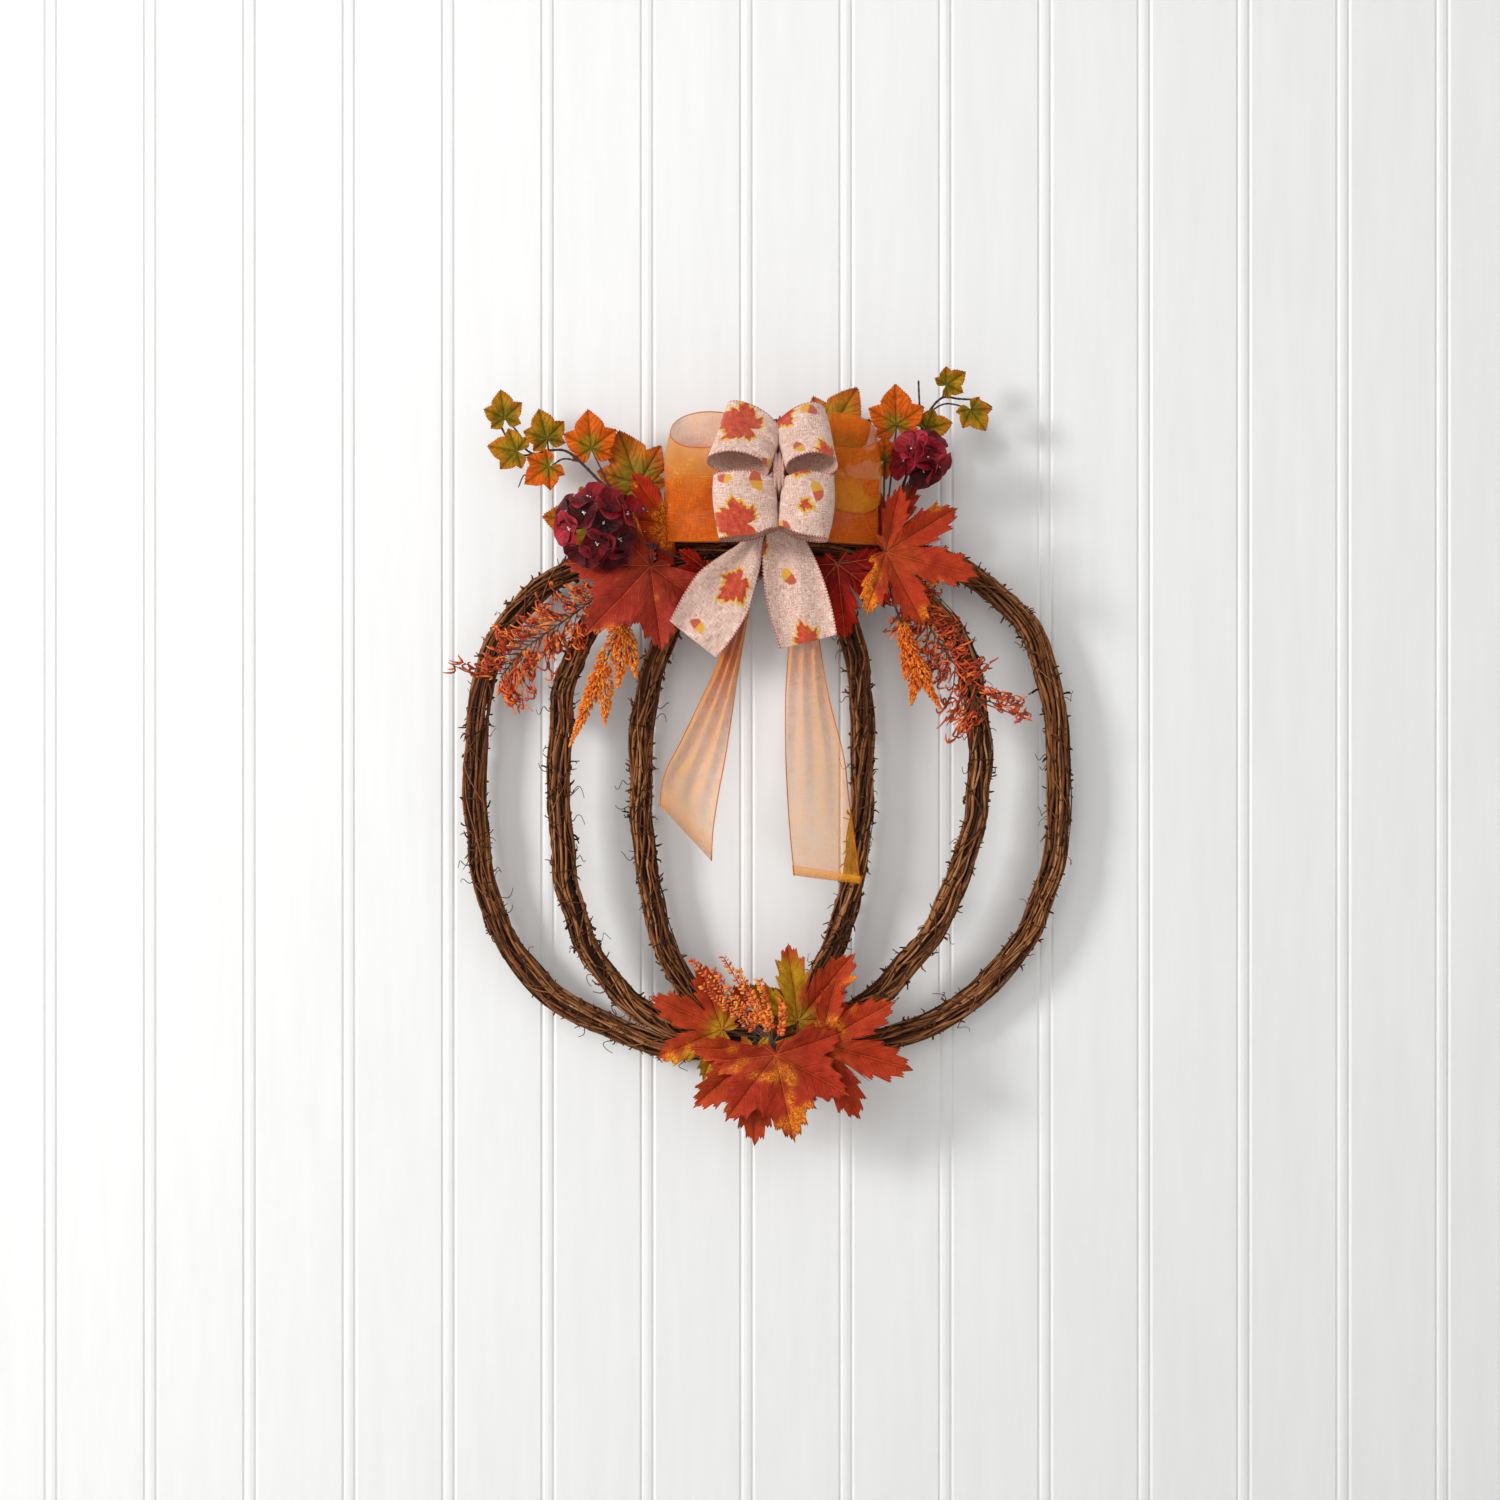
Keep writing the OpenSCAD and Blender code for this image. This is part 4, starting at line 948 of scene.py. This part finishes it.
# Streamers' middle lines, in mm: [x, y, z, direction of the width, width], as their solids run.
PRINTED_LEFT = [
    (4, -82, 6, 0, 14), (-8, -78, -16, 0, 14), (-15, -74, -34, -12, 22), (-22, -74, -48, -28, 34),
    (-32, -75, -64, -36, 48), (-42, -76, -80, -38, 60), (-52, -77, -96, -38, 62), (-62, -78, -112, -38, 60),
    (-71, -79, -125, -38, 56)]
PRINTED_RIGHT = [
    (13, -82, 6, 0, 14), (15, -78, -16, 0, 26), (17, -74, -34, 4, 42), (20, -74, -50, 10, 50),
    (24, -75, -68, 14, 56), (29, -76, -88, 15, 59), (34, -77, -108, 15, 59), (39, -78, -127, 14, 56)]
SHEER_LEFT = [
    (6, -72, 8, 0, 12), (-8, -70, -14, 0, 13), (-16, -70, -34, 0, 14), (-21, -70, -70, 0, 16),
    (-28, -70, -110, 0, 16), (-38, -70, -150, -4, 22), (-50, -70, -190, -8, 34), (-62, -71, -230, -14, 46),
    (-72, -72, -262, -26, 56), (-77, -72, -290, -38, 64), (-78, -73, -314, -48, 74)]
SHEER_RIGHT = [
    (12, -72, 8, 0, 12), (18, -70, -14, 0, 16), (24, -70, -34, 0, 20), (30, -70, -70, 0, 24),
    (35, -70, -125, 0, 30), (38, -70, -180, 0, 42), (45, -70, -235, 0, 56), (48, -71, -270, 0, 59),
    (52, -72, -310, -2, 62), (56, -73, -346, -6, 64), (58, -73, -368, -9, 66)]


def gather(ratio):
    """Slope of a sine whose length is ratio times its span."""
    c = np.linspace(0, 12, 400)
    t = np.linspace(0, TAU, 181)
    lengths = np.sqrt(1 + (c[:, None] * np.cos(t)) ** 2).mean(1)
    return np.interp(ratio, lengths, c)


def streamer(node, table, body, pleats, deepest, curl, seed, mats, slot, marks=(), acorns=(), density=None,
             bow=0.0, set_back=0.0):
    """A tail along table. Its spare width goes into pleats of up to deepest mm depth, and its last curl mm
    roll up. bow bends its edges back, and set_back moves the pleats towards the door."""
    rows, cols = 210, 84
    line = curve_through(np.array(table, float), rows)
    middle, way, width = line[:, :3] * MM, np.radians(line[:, 3]), np.minimum(line[:, 4] * MM, 80 * MM)
    v = np.linspace(-0.5, 0.5, cols)
    across = np.stack([np.cos(way), 0 * way, np.sin(way)], 1)
    ratio = np.maximum(RIBBON_W / np.maximum(width, 1e-4), 1.0)
    amp = np.minimum(gather(ratio) * width / (TAU * pleats), deepest * MM)
    d = distances(middle)
    length = float(d[-1])
    wave = amp[:, None] * (set_back + np.sin(TAU * pleats * v[None, :] + seed + 2.2 * d[:, None] / 0.1))
    wave = wave + (MM * (2.0 * np.sin(d / 0.026 + seed) + 1.1 * np.sin(d / 0.011))[:, None]
                   * (0.4 + 1.6 * np.abs(v)[None, :]) * smooth(d, 0.02, 0.08)[:, None])
    wave = wave + bow * MM * (4 * v[None, :] ** 2) * smooth(d, 0.03, 0.1)[:, None]
    grid = middle[:, None] + v[None, :, None] * width[:, None, None] * across[:, None]
    grid[..., 1] += wave
    if curl:
        start = length - curl * MM
        t = np.clip((d - start) / (curl * MM), 0, 1)
        roll = 6.0 * MM
        angle = t * curl * MM / roll
        fall = normalised(middle[-1] - middle[-12])
        keep = middle[np.searchsorted(d, start)]
        for i in np.nonzero(t > 0)[0]:
            shift = keep - middle[i] + fall * roll * math.sin(angle[i])
            shift[1] -= roll * (1 - math.cos(angle[i]))
            grid[i] += shift
    if density is not None:
        end = smooth(d, length - 0.03, length - 0.01)[:, None]
        density = np.clip(density * ratio[:, None] ** 0.55 + 0.2 * end, 0, 0.95) + 0 * v[None, :]
    # Gathered parts take more of the deeper sheer colour: painted shade in the folds.
    deep = (np.clip((ratio - 1.2) / 3, 0, 0.7)[:, None] + 0 * v[None, :]).ravel()
    piece = ribbon(node, grid, mats, body, marks, acorns, density, deep, turned_over=True)
    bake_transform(piece)
    return piece


streamer("printed_streamer_left", PRINTED_LEFT, LEFT, 1.5, 2.5, 0, 0.4, **PRINTED,
         marks=[(10, 80, 33, 110)], acorns=[(-4, 139, 9, 190)], bow=-4)
streamer("printed_streamer_right", PRINTED_RIGHT, RIGHT, 1.5, 2.5, 0, 1.9, **PRINTED,
         marks=[(0, 139, 26, 260), (-28, 44, 17, 200)], acorns=[(-4, 72, 10, 60)], bow=-3)
streamer("sheer_streamer_left", SHEER_LEFT, LEFT, 3.0, 4.4, 12, 0.9, **SHEER, density=0.52, set_back=1.0)
streamer("sheer_streamer_right", SHEER_RIGHT, RIGHT, 3.0, 4.0, 22, 2.6, **SHEER, density=0.46, set_back=1.0)

# The band at the knot: a strip of linen gathered to half its width and drawn tight round the loops.
KNOT_W = 10.4 * MM
(kx0, ky0, kz0), (kx1, ky1, kz1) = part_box("bow_centre_tie")
b = Build()
rows, cols = 90, 41
turn = np.linspace(0, TAU, rows, endpoint=False)[:, None]
v = np.linspace(-1, 1, cols)[None, :]
mid_y, mid_z = (ky0 + ky1) / 2, (kz0 + kz1) / 2
gathered = 1 + 0.10 * np.sin(v * 9 + 0.6 * np.sin(turn * 2)) - 0.12 * v ** 2
half_y, half_z = (ky1 - ky0) / 2, (kz1 - kz0) / 2
y = mid_y + half_y * np.sign(np.cos(turn)) * np.abs(np.cos(turn)) ** 0.6 * (1 - 0.02 * (1 - gathered))
z = mid_z + half_z * 0.85 * np.sign(np.sin(turn)) * np.abs(np.sin(turn)) ** 0.6 * gathered
x = (kx0 + kx1) / 2 + v * KNOT_W / 2 + 0 * turn
grid = np.stack(np.broadcast_arrays(x, y, z), -1)
quads = grid_quads(rows, cols, rows_close=True)
al = np.broadcast_to(turn * 0.02, (rows, cols))
ac = np.broadcast_to(v * 0.02, (rows, cols))
b.add(grid.reshape(-1, 3), quads, cloth=np.stack([ac, al, 0 * al], -1).reshape(-1, 3),
      leaf_print=-1.0, acorn_print=-1.0, acorn_cap=0.0, hem=0.009 - np.abs(ac).ravel() * 0.45)
knot = b.object("bow_centre_tie_cloth", PRINTED["mats"])
cloth_shell(knot, RIBBON_T, offset=-1.0, reverse=1)
stand_in(knot, "bow_centre_tie")


# ---------------------------------------------------------------- flower heads

def bead(build, at, r, tint, mat=0, sides=8, squash=(1, 1, 1), axis=None, **attrs):
    """A small rounded seed or bead, longer along axis if it has one."""
    lat = np.linspace(0, math.pi, max(4, sides // 2 + 1))
    lon = TAU * np.arange(sides) / sides
    p = np.stack([np.outer(np.sin(lat), np.cos(lon)), np.outer(np.sin(lat), np.sin(lon)),
                  np.outer(np.cos(lat), np.ones(sides))], -1) * np.array(squash)
    if axis is not None:
        w = normalised(np.asarray(axis, float))
        u = normalised(np.cross(w, (0.3, 0.9, 0.2)))
        p = p[..., :1] * u + p[..., 1:2] * np.cross(w, u) + p[..., 2:] * w
    quads = grid_quads(len(lat), sides, cols_close=True)[:, OTHER_WAY]
    build.add(np.asarray(at) + r * p.reshape(-1, 3), quads, mat=mat, tint=tint, **attrs)


def petal(build, at, facing, out, size, tint, cup, seed):
    """A broad cupped petal that starts at at and reaches out, with its face along facing."""
    facing, out = normalised(facing), normalised(out - facing * float(np.dot(out, normalised(facing))))
    side = np.cross(facing, out)
    rows, cols = 12, 11
    t = np.linspace(0, 1, rows)[:, None]
    v = np.linspace(-1, 1, cols)[None, :]
    width = 0.60 * np.sin(np.pi * (0.04 + 0.80 * t ** 1.1)) ** 0.7
    rise = cup * t ** 1.6 + 0.30 * v ** 2 * width - 0.25 * smooth(t, 0.7, 1.0) * cup
    rise = rise + 0.03 * np.sin(4 * v + seed) * t
    reach = t * (1 - 0.20 * v ** 2)
    p = np.asarray(at) + size * (reach[..., None] * out + (width * v)[..., None] * side
                                 + rise[..., None] * facing)
    shade = tint + 0.25 * t - 0.12 * np.abs(v) + 0.08 * np.sin(9 * v + seed)
    build.add(p.reshape(-1, 3), grid_quads(rows, cols), run=np.broadcast_to(t, (rows, cols)).ravel(),
              rib=np.broadcast_to(v * (0.3 + 0.7 * t), (rows, cols)).ravel(),
              tint=np.broadcast_to(np.clip(shade, 0, 1), (rows, cols)).ravel())


def flower_head(node, middle, radius, count, root, seed, petal_size, beads):
    """Four-petalled florets on stalks, spread over a ball by the golden angle, as the solid's are."""
    r = random.Random(seed)
    b = Build()
    middle = np.array(middle) * MM
    for k in range(count):
        turn, lean = math.radians(137.5 * k), math.radians(70 * math.sqrt((k + 0.5) / count))
        way = np.array([math.sin(lean) * math.cos(turn), -math.cos(lean), math.sin(lean) * math.sin(turn)])
        at = middle + way * radius * MM * r.uniform(0.86, 0.98)
        u = normalised(np.cross(way, (0.1, 0.2, 1)))
        w = np.cross(way, u)
        first = r.uniform(0, TAU)
        tone = r.uniform(0.12, 0.62)
        for q in range(4):
            a = first + q * TAU / 4 + r.uniform(-0.12, 0.12)
            petal(b, at, way, math.cos(a) * u + math.sin(a) * w,
                  radius * MM * petal_size * r.uniform(0.8, 1.16), tone + r.uniform(-0.1, 0.1),
                  r.uniform(0.05, 0.45), r.uniform(0, 6))
        for _ in range(beads):
            off = jitter(r) * 1.6 * MM
            bead(b, at + way * 1.2 * MM + off, r.uniform(0.5, 0.9) * MM, r.uniform(0.3, 1.0), mat=1, sides=6)
        sweep(b, curve_through([middle, (middle + at) / 2 + 0.001 * u, at], 7), 0.8 * MM, 6, mat=2, tint=0.5)
    bead(b, middle, radius * 0.25 * MM, 0.2, mat=2, sides=14)
    root = np.array(root) * MM
    sweep(b, curve_through([root, (root + middle) / 2, middle], 9), 1.2 * MM, 7, mat=2, tint=0.4)
    piece = b.object(node + "_petals", [PETAL, BEAD, STEM])
    cloth_shell(piece, PETAL_T)
    stand_in(piece, node)


flower_head("left_flower_head", (-162, -72, -17), 36, 11, (-109, -70, -35), 71, 0.53, 5)
flower_head("right_flower_head", (147, -57, 50), 20.9, 6, (112, -59, -36), 72, 0.86, 2)


# ---------------------------------------------------------------- sprays

def along_path(path, f):
    i = min(int(f * (len(path) - 1)), len(path) - 2)
    t = f * (len(path) - 1) - i
    return path[i] * (1 - t) + path[i + 1] * t, normalised(path[i + 1] - path[i])


def heather(node, stem, seed, branches, reach, tips):
    """Wiry stems that carry curly sprigs."""
    r = random.Random(seed)
    b = Build()
    path = curve_through(np.array(stem, float) * MM, 60)
    sweep(b, path, np.linspace(1.3, 0.6, 60) * MM, 6, tint=np.linspace(0.05, 0.3, 60))
    low_y, high_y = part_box(node)[0][1] - 4 * MM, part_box(node)[1][1] + 2 * MM
    for k in range(branches):
        f = 0.12 + 0.88 * (k + r.random() * 0.6) / branches
        at, t = along_path(path, min(f, 0.999))
        out = normalised(np.cross(t, (0, 1, 0))) * (1 if k % 2 else -1)
        size = reach * MM * r.uniform(0.45, 1.0)
        end = at + out * size * r.uniform(0.45, 0.9) + t * size * r.uniform(0.2, 0.8)
        end[1] = r.uniform(low_y, high_y)
        twig = curve_through([at, (at + end) / 2 + t * size * 0.12, end], 12)
        sweep(b, twig, np.linspace(0.7, 0.45, 12) * MM, 5, tint=np.linspace(0.12, 0.42, 12))
        for _ in range(r.randint(10, 15)):
            g = r.uniform(0.2, 1.0)
            p, d = along_path(twig, min(g, 0.999))
            side = normalised(np.array([r.uniform(-1, 1), r.uniform(-0.6, 0.6), r.uniform(-1, 1)]))
            hook = r.uniform(5, 12) * MM
            lift = normalised(np.cross(side, d))
            q = np.linspace(0, 1, 7)
            bow_way = r.choice((-1, 1))
            curl = p + np.outer(q * hook, side) + np.outer(bow_way * hook * 0.5 * np.sin(q * 3.6), d) \
                + np.outer(hook * 0.15 * np.sin(q * 5), lift)
            curl[:, 1] = np.clip(curl[:, 1], low_y, high_y)
            tip = r.uniform(*tips)
            sweep(b, curl, np.array([0.6, 0.85, 1.0, 1.0, 1.0, 0.85, 0.5]) * MM, 5,
                  tint=np.clip(0.35 + (tip - 0.35) * q * 1.3, 0, 1))
    piece = b.object(node + "_sprigs", [HEATHER])
    stand_in(piece, node)


heather("left_heather_spray", [(-109, -44, -35), (-138, -45, -58), (-172, -51, -88), (-205, -51, -112),
                               (-236, -46, -134), (-258, -42, -160)], 81, 50, 54, (0.42, 0.95))
heather("right_heather_spray", [(112, -51, -36), (133, -51, -66), (150, -51, -100), (168, -51, -130),
                                (188, -51, -158), (206, -51, -186)], 82, 44, 46, (0.40, 0.80))


SEED_EVERY = 0.00022


def plume(build, path, r_max, r, tone):
    """Seeds crowd round an axis, fewer and smaller towards its tip."""
    n = int(length_of(path) / SEED_EVERY)
    for k in range(n):
        f = (k + 0.5) / n
        at, t = along_path(path, f)
        u = normalised(np.cross(t, (0.2, 1, 0.1)))
        w = np.cross(t, u)
        a = r.uniform(0, TAU)
        thick = r_max * math.sin(math.pi * min(1, 0.12 + 0.9 * f) ** 0.8) * r.uniform(0.5, 1.05)
        out = math.cos(a) * u + math.sin(a) * w
        bead(build, at + out * thick * 0.85, r.uniform(1.1, 1.8) * MM,
             np.clip(tone + r.uniform(-0.3, 0.35), 0, 1), sides=5, squash=(0.7, 0.7, 1.7), axis=out + 1.3 * t)


def plume_spray(node, stem, plumes, r_max, tone, seed):
    r = random.Random(seed)
    b = Build()
    pts = np.array(stem, float) * MM
    path = curve_through(pts, 50)
    sweep(b, path, np.linspace(1.3, 0.7, 50) * MM, 6, mat=1, tint=0.5)
    plume(b, path[18:], r_max * MM, r, tone)
    for start, reach in plumes:
        a = pts[start]
        c = a + np.array(reach) * MM
        side = curve_through([a, (a + c) / 2 + np.array([1.5, 0, -1]) * MM, c], 16)
        sweep(b, side, 0.6 * MM, 5, mat=1, tint=0.5)
        plume(b, side, r_max * 0.9 * MM, r, tone)
    piece = b.object(node + "_seeds", [PLUME, STEM])
    stand_in(piece, node)


plume_spray("left_plume_spray", [(-109, -54, -35), (-124, -56, -75), (-140, -57, -110), (-158, -57, -150),
                                 (-174, -57, -190), (-190, -56, -226)],
            [(2, (-4, -1, -60)), (2, (14, -1, -50)), (3, (2, -1, -55)), (3, (-22, -1, -40))], 10.5, 0.66, 91)
plume_spray("right_plume_spray", [(112, -55, -36), (119, -58, -80), (130, -60, -112), (142, -60, -142),
                                  (154, -60, -168), (166, -58, -190)],
            [(2, (2, -1, -50)), (2, (16, -1, -60)), (3, (-4, -1, -44)), (3, (16, -1, -36))], 9.0, 0.5, 92)

b = Build()
r = random.Random(93)
root = np.array([5, -66, -511]) * MM
for tip in [(-73, -430), (-62, -455), (-42, -428), (-28, -440), (-8, -450), (14, -470), (-52, -440),
            (-16, -462)]:
    tip = np.array([tip[0], -66, tip[1]]) * MM
    path = curve_through([root, (root + tip) / 2 + np.array([4, 0, -6]) * MM, tip], 24)
    sweep(b, path, np.linspace(0.9, 0.5, 24) * MM, 5, mat=1, tint=0.75)
    for k in range(44):
        f = 0.30 + 0.70 * (k + r.random()) / 44
        at, t = along_path(path, min(f, 0.999))
        side = normalised(np.cross(t, (0, 1, 0))) * (1 if k % 2 else -1)
        off = normalised(side + t * 0.7 + np.array([0, r.uniform(-0.8, 0.8), 0]))
        bead(b, at + off * 3.0 * MM * r.uniform(0.4, 1.2), r.uniform(1.2, 2.1) * MM, r.uniform(0.2, 1.0),
             sides=6, squash=(0.75, 0.75, 1.5), axis=off)
piece = b.object("bottom_berry_spray_seeds", [BERRY, STEM])
stand_in(piece, "bottom_berry_spray")


# ---------------------------------------------------------------- branches and stems

def branch(node, y, twigs):
    """Wrapped wire twigs: each is its points in mm and its radius at both ends in mm."""
    b = Build()
    for points, thick, thin in twigs:
        pts = np.array([(x, y, z) for x, z in points], float) * MM
        n = 8 * len(pts)
        path = curve_through(pts, n)
        path[:, 1] += 0.5 * MM * np.sin(np.linspace(0, 9, n))
        radius = 1.2 * np.linspace(thick, thin, n) * MM * (1 + 0.12 * np.sin(np.linspace(0, 4.2 * n, n)))
        sweep(b, path, radius, 7, tint=np.linspace(0.45, 0.2, n))
        bead(b, path[-1], thin * 1.3 * MM, 0.35, sides=7)
    piece = b.object(node + "_twigs", [STEM])
    stand_in(piece, node)


branch("left_ivy_branch", -38, [
    ([(-109, -35), (-131, -6), (-150, 18), (-166, 34), (-182, 50), (-196, 60), (-212, 60), (-226, 57),
      (-236, 64), (-242, 78), (-254, 91)], 1.5, 0.7),
    ([(-226, 57), (-238, 56), (-248, 66), (-258, 84), (-264, 104)], 0.9, 0.9),
    ([(-212, 60), (-213, 71)], 0.8, 0.6),
    ([(-182, 50), (-198, 52), (-211, 44), (-222, 42), (-230, 36), (-236, 36), (-241, 25)], 0.8, 0.5),
    ([(-150, 18), (-160, 40), (-170, 61)], 0.9, 0.6)])
branch("right_ivy_branch", -33, [
    ([(112, -36), (124, 2), (136, 38), (147, 66), (150, 80), (157, 98), (170, 112), (186, 111), (202, 110),
      (212, 107), (218, 103)], 1.5, 0.6),
    ([(150, 80), (148, 104), (147, 128)], 0.8, 0.8),
    ([(157, 98), (172, 106), (188, 104), (198, 100)], 0.8, 0.6),
    ([(170, 112), (174, 124)], 0.7, 0.6),
    ([(150, 80), (154, 82)], 0.8, 0.7)])

for node in ("left_pick_stem", "right_pick_stem", "bottom_pick_stem"):
    (x0, y0, z0), (x1, y1, z1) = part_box(node)
    b = Build()
    mx, mz, rad = (x0 + x1) / 2, (z0 + z1) / 2, (x1 - x0) / 2
    for k in range(6):
        a = np.linspace(0, 1.4, 24) + k * TAU / 6
        y = np.linspace(y1, y0 + 0.001, 24)
        sweep(b, np.stack([mx + 0.62 * rad * np.cos(a), y, mz + 0.62 * rad * np.sin(a)], 1), rad * 0.36, 6,
              tint=0.3 + 0.1 * (k % 3))
    a = np.linspace(0, TAU * (y1 - y0) / 0.0042, 260)
    y = np.linspace(y1, y0 + 0.001, 260)
    thread = np.stack([mx + 0.9 * rad * np.cos(a), y, mz + 0.9 * rad * np.sin(a)], 1)
    sweep(b, thread, 0.45 * MM, 5, tint=0.55)
    piece = b.object(node + "_wrapping", [STEM])
    stand_in(piece, node)

for node in ("top_tie_wire", "bottom_tie_wire", "hanging_loop", "bow_wire"):
    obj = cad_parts[node]
    obj.data.materials.clear()
    obj.data.materials.append(WIRE)


# ---------------------------------------------------------------- wall, floor, light and camera

mid_x, mid_z = ((cad_box[0][k] + cad_box[1][k]) / 2 for k in (0, 2))
WALL_Y, WALL_TOP, FLOOR_Z = 0.012, 1.6, -1.05
BOARD_W, BOARDS = 0.0985, 29
# The groove between two boards: distance from its left edge, and depth.
GROOVE = ((0, 0), (0.002, 0.0015), (0.0026, 0.0015), (0.0046, 0), (0.008, -0.0004), (0.0114, 0),
          (0.0134, 0.0015), (0.014, 0.0015), (0.016, 0))


def wall_material():
    """Painted boards. Seen from behind they are clear, so that the wreath's back shows."""
    s = Shade("painted_board", Specular_IOR_Level=0.3)
    brushed = s.noise(s.stretch(s.place(), (60, 60, 6)), 1.0, 5, 0.6)
    base = s.ramp(brushed, [(0.3, "#f0f0ef"), (0.7, "#f5f5f4")])
    s.finish(base, s.bump(brushed, 0.0004, 0.35), 0.5)
    clear = s.node("BsdfTransparent")
    back = s.node("NewGeometry", out="Backfacing")
    mix = s.tree.nodes.new("ShaderNodeMixShader")
    s.put(mix, 0, back)
    s.tree.links.new(s.bsdf.outputs[0], mix.inputs[1])
    s.tree.links.new(clear, mix.inputs[2])
    s.tree.links.new(mix.outputs[0], s.tree.nodes["Material Output"].inputs["Surface"])
    return s.mat


first = mid_x - 14.28 * BOARD_W
profile = [(first + k * BOARD_W + dx, WALL_Y + dy) for k in range(BOARDS) for dx, dy in GROOVE]
b = Build()
n = len(profile)
verts = [(x, y, z) for x, y in profile for z in (FLOOR_Z, WALL_TOP)]
b.add(verts, [[2 * i, 2 * i + 2, 2 * i + 3, 2 * i + 1] for i in range(n - 1)])
wall = b.object("wall", [wall_material()])
wall.data.polygons.foreach_set("use_smooth", np.zeros(n - 1, bool))

s = Shade("pale_floor")
grain = s.noise(s.place(), 90, 4)
floor_mat = s.finish(s.ramp(grain, [(0.3, "#c6c6c4"), (0.7, "#cacac8")]), s.bump(grain, 0.0005, 0.1), 0.8)
b = Build()
b.add([(x, y, FLOOR_Z) for x, y in ((-4, -5), (4, -5), (4, 3), (-4, 3))], [[0, 1, 2, 3]])
b.object("floor", [floor_mat])

world = bpy.data.worlds.new("studio")
bpy.context.scene.world = world
world.use_nodes = True
world.node_tree.nodes["Background"].inputs[0].default_value = (1, 1, 1, 1)
world.node_tree.nodes["Background"].inputs[1].default_value = 0.47


def area(name, at, aim, size, power):
    light = bpy.data.lights.new(name, "AREA")
    light.energy, light.size = power, size
    obj = bpy.data.objects.new(name, light)
    obj.location = at
    obj.rotation_euler = (Vector(aim) - Vector(at)).to_track_quat("-Z", "Y").to_euler()
    bpy.context.scene.collection.objects.link(obj)


aim = (mid_x, 0, mid_z)
area("key", (-3.1, -2.3, 0.75), aim, 0.9, 94)
area("fill", (2.4, -2.6, 0.2), aim, 2.2, 7)
area("front", (-0.6, -3.4, 0.9), aim, 2.0, 20)
area("back", (1.4, 2.6, 0.9), aim, 1.6, 45)

cam = bpy.data.cameras.new("camera")
cam.sensor_width, cam.lens = 36, 53.9
cam.dof.use_dof = False
camera = bpy.data.objects.new("camera", cam)
camera.location = (-0.0167, -2.214, -0.230)
camera.rotation_euler = (math.pi / 2, 0, 0)
bpy.context.scene.collection.objects.link(camera)
bpy.context.scene.camera = camera
bpy.context.scene.view_settings.view_transform = "Standard"
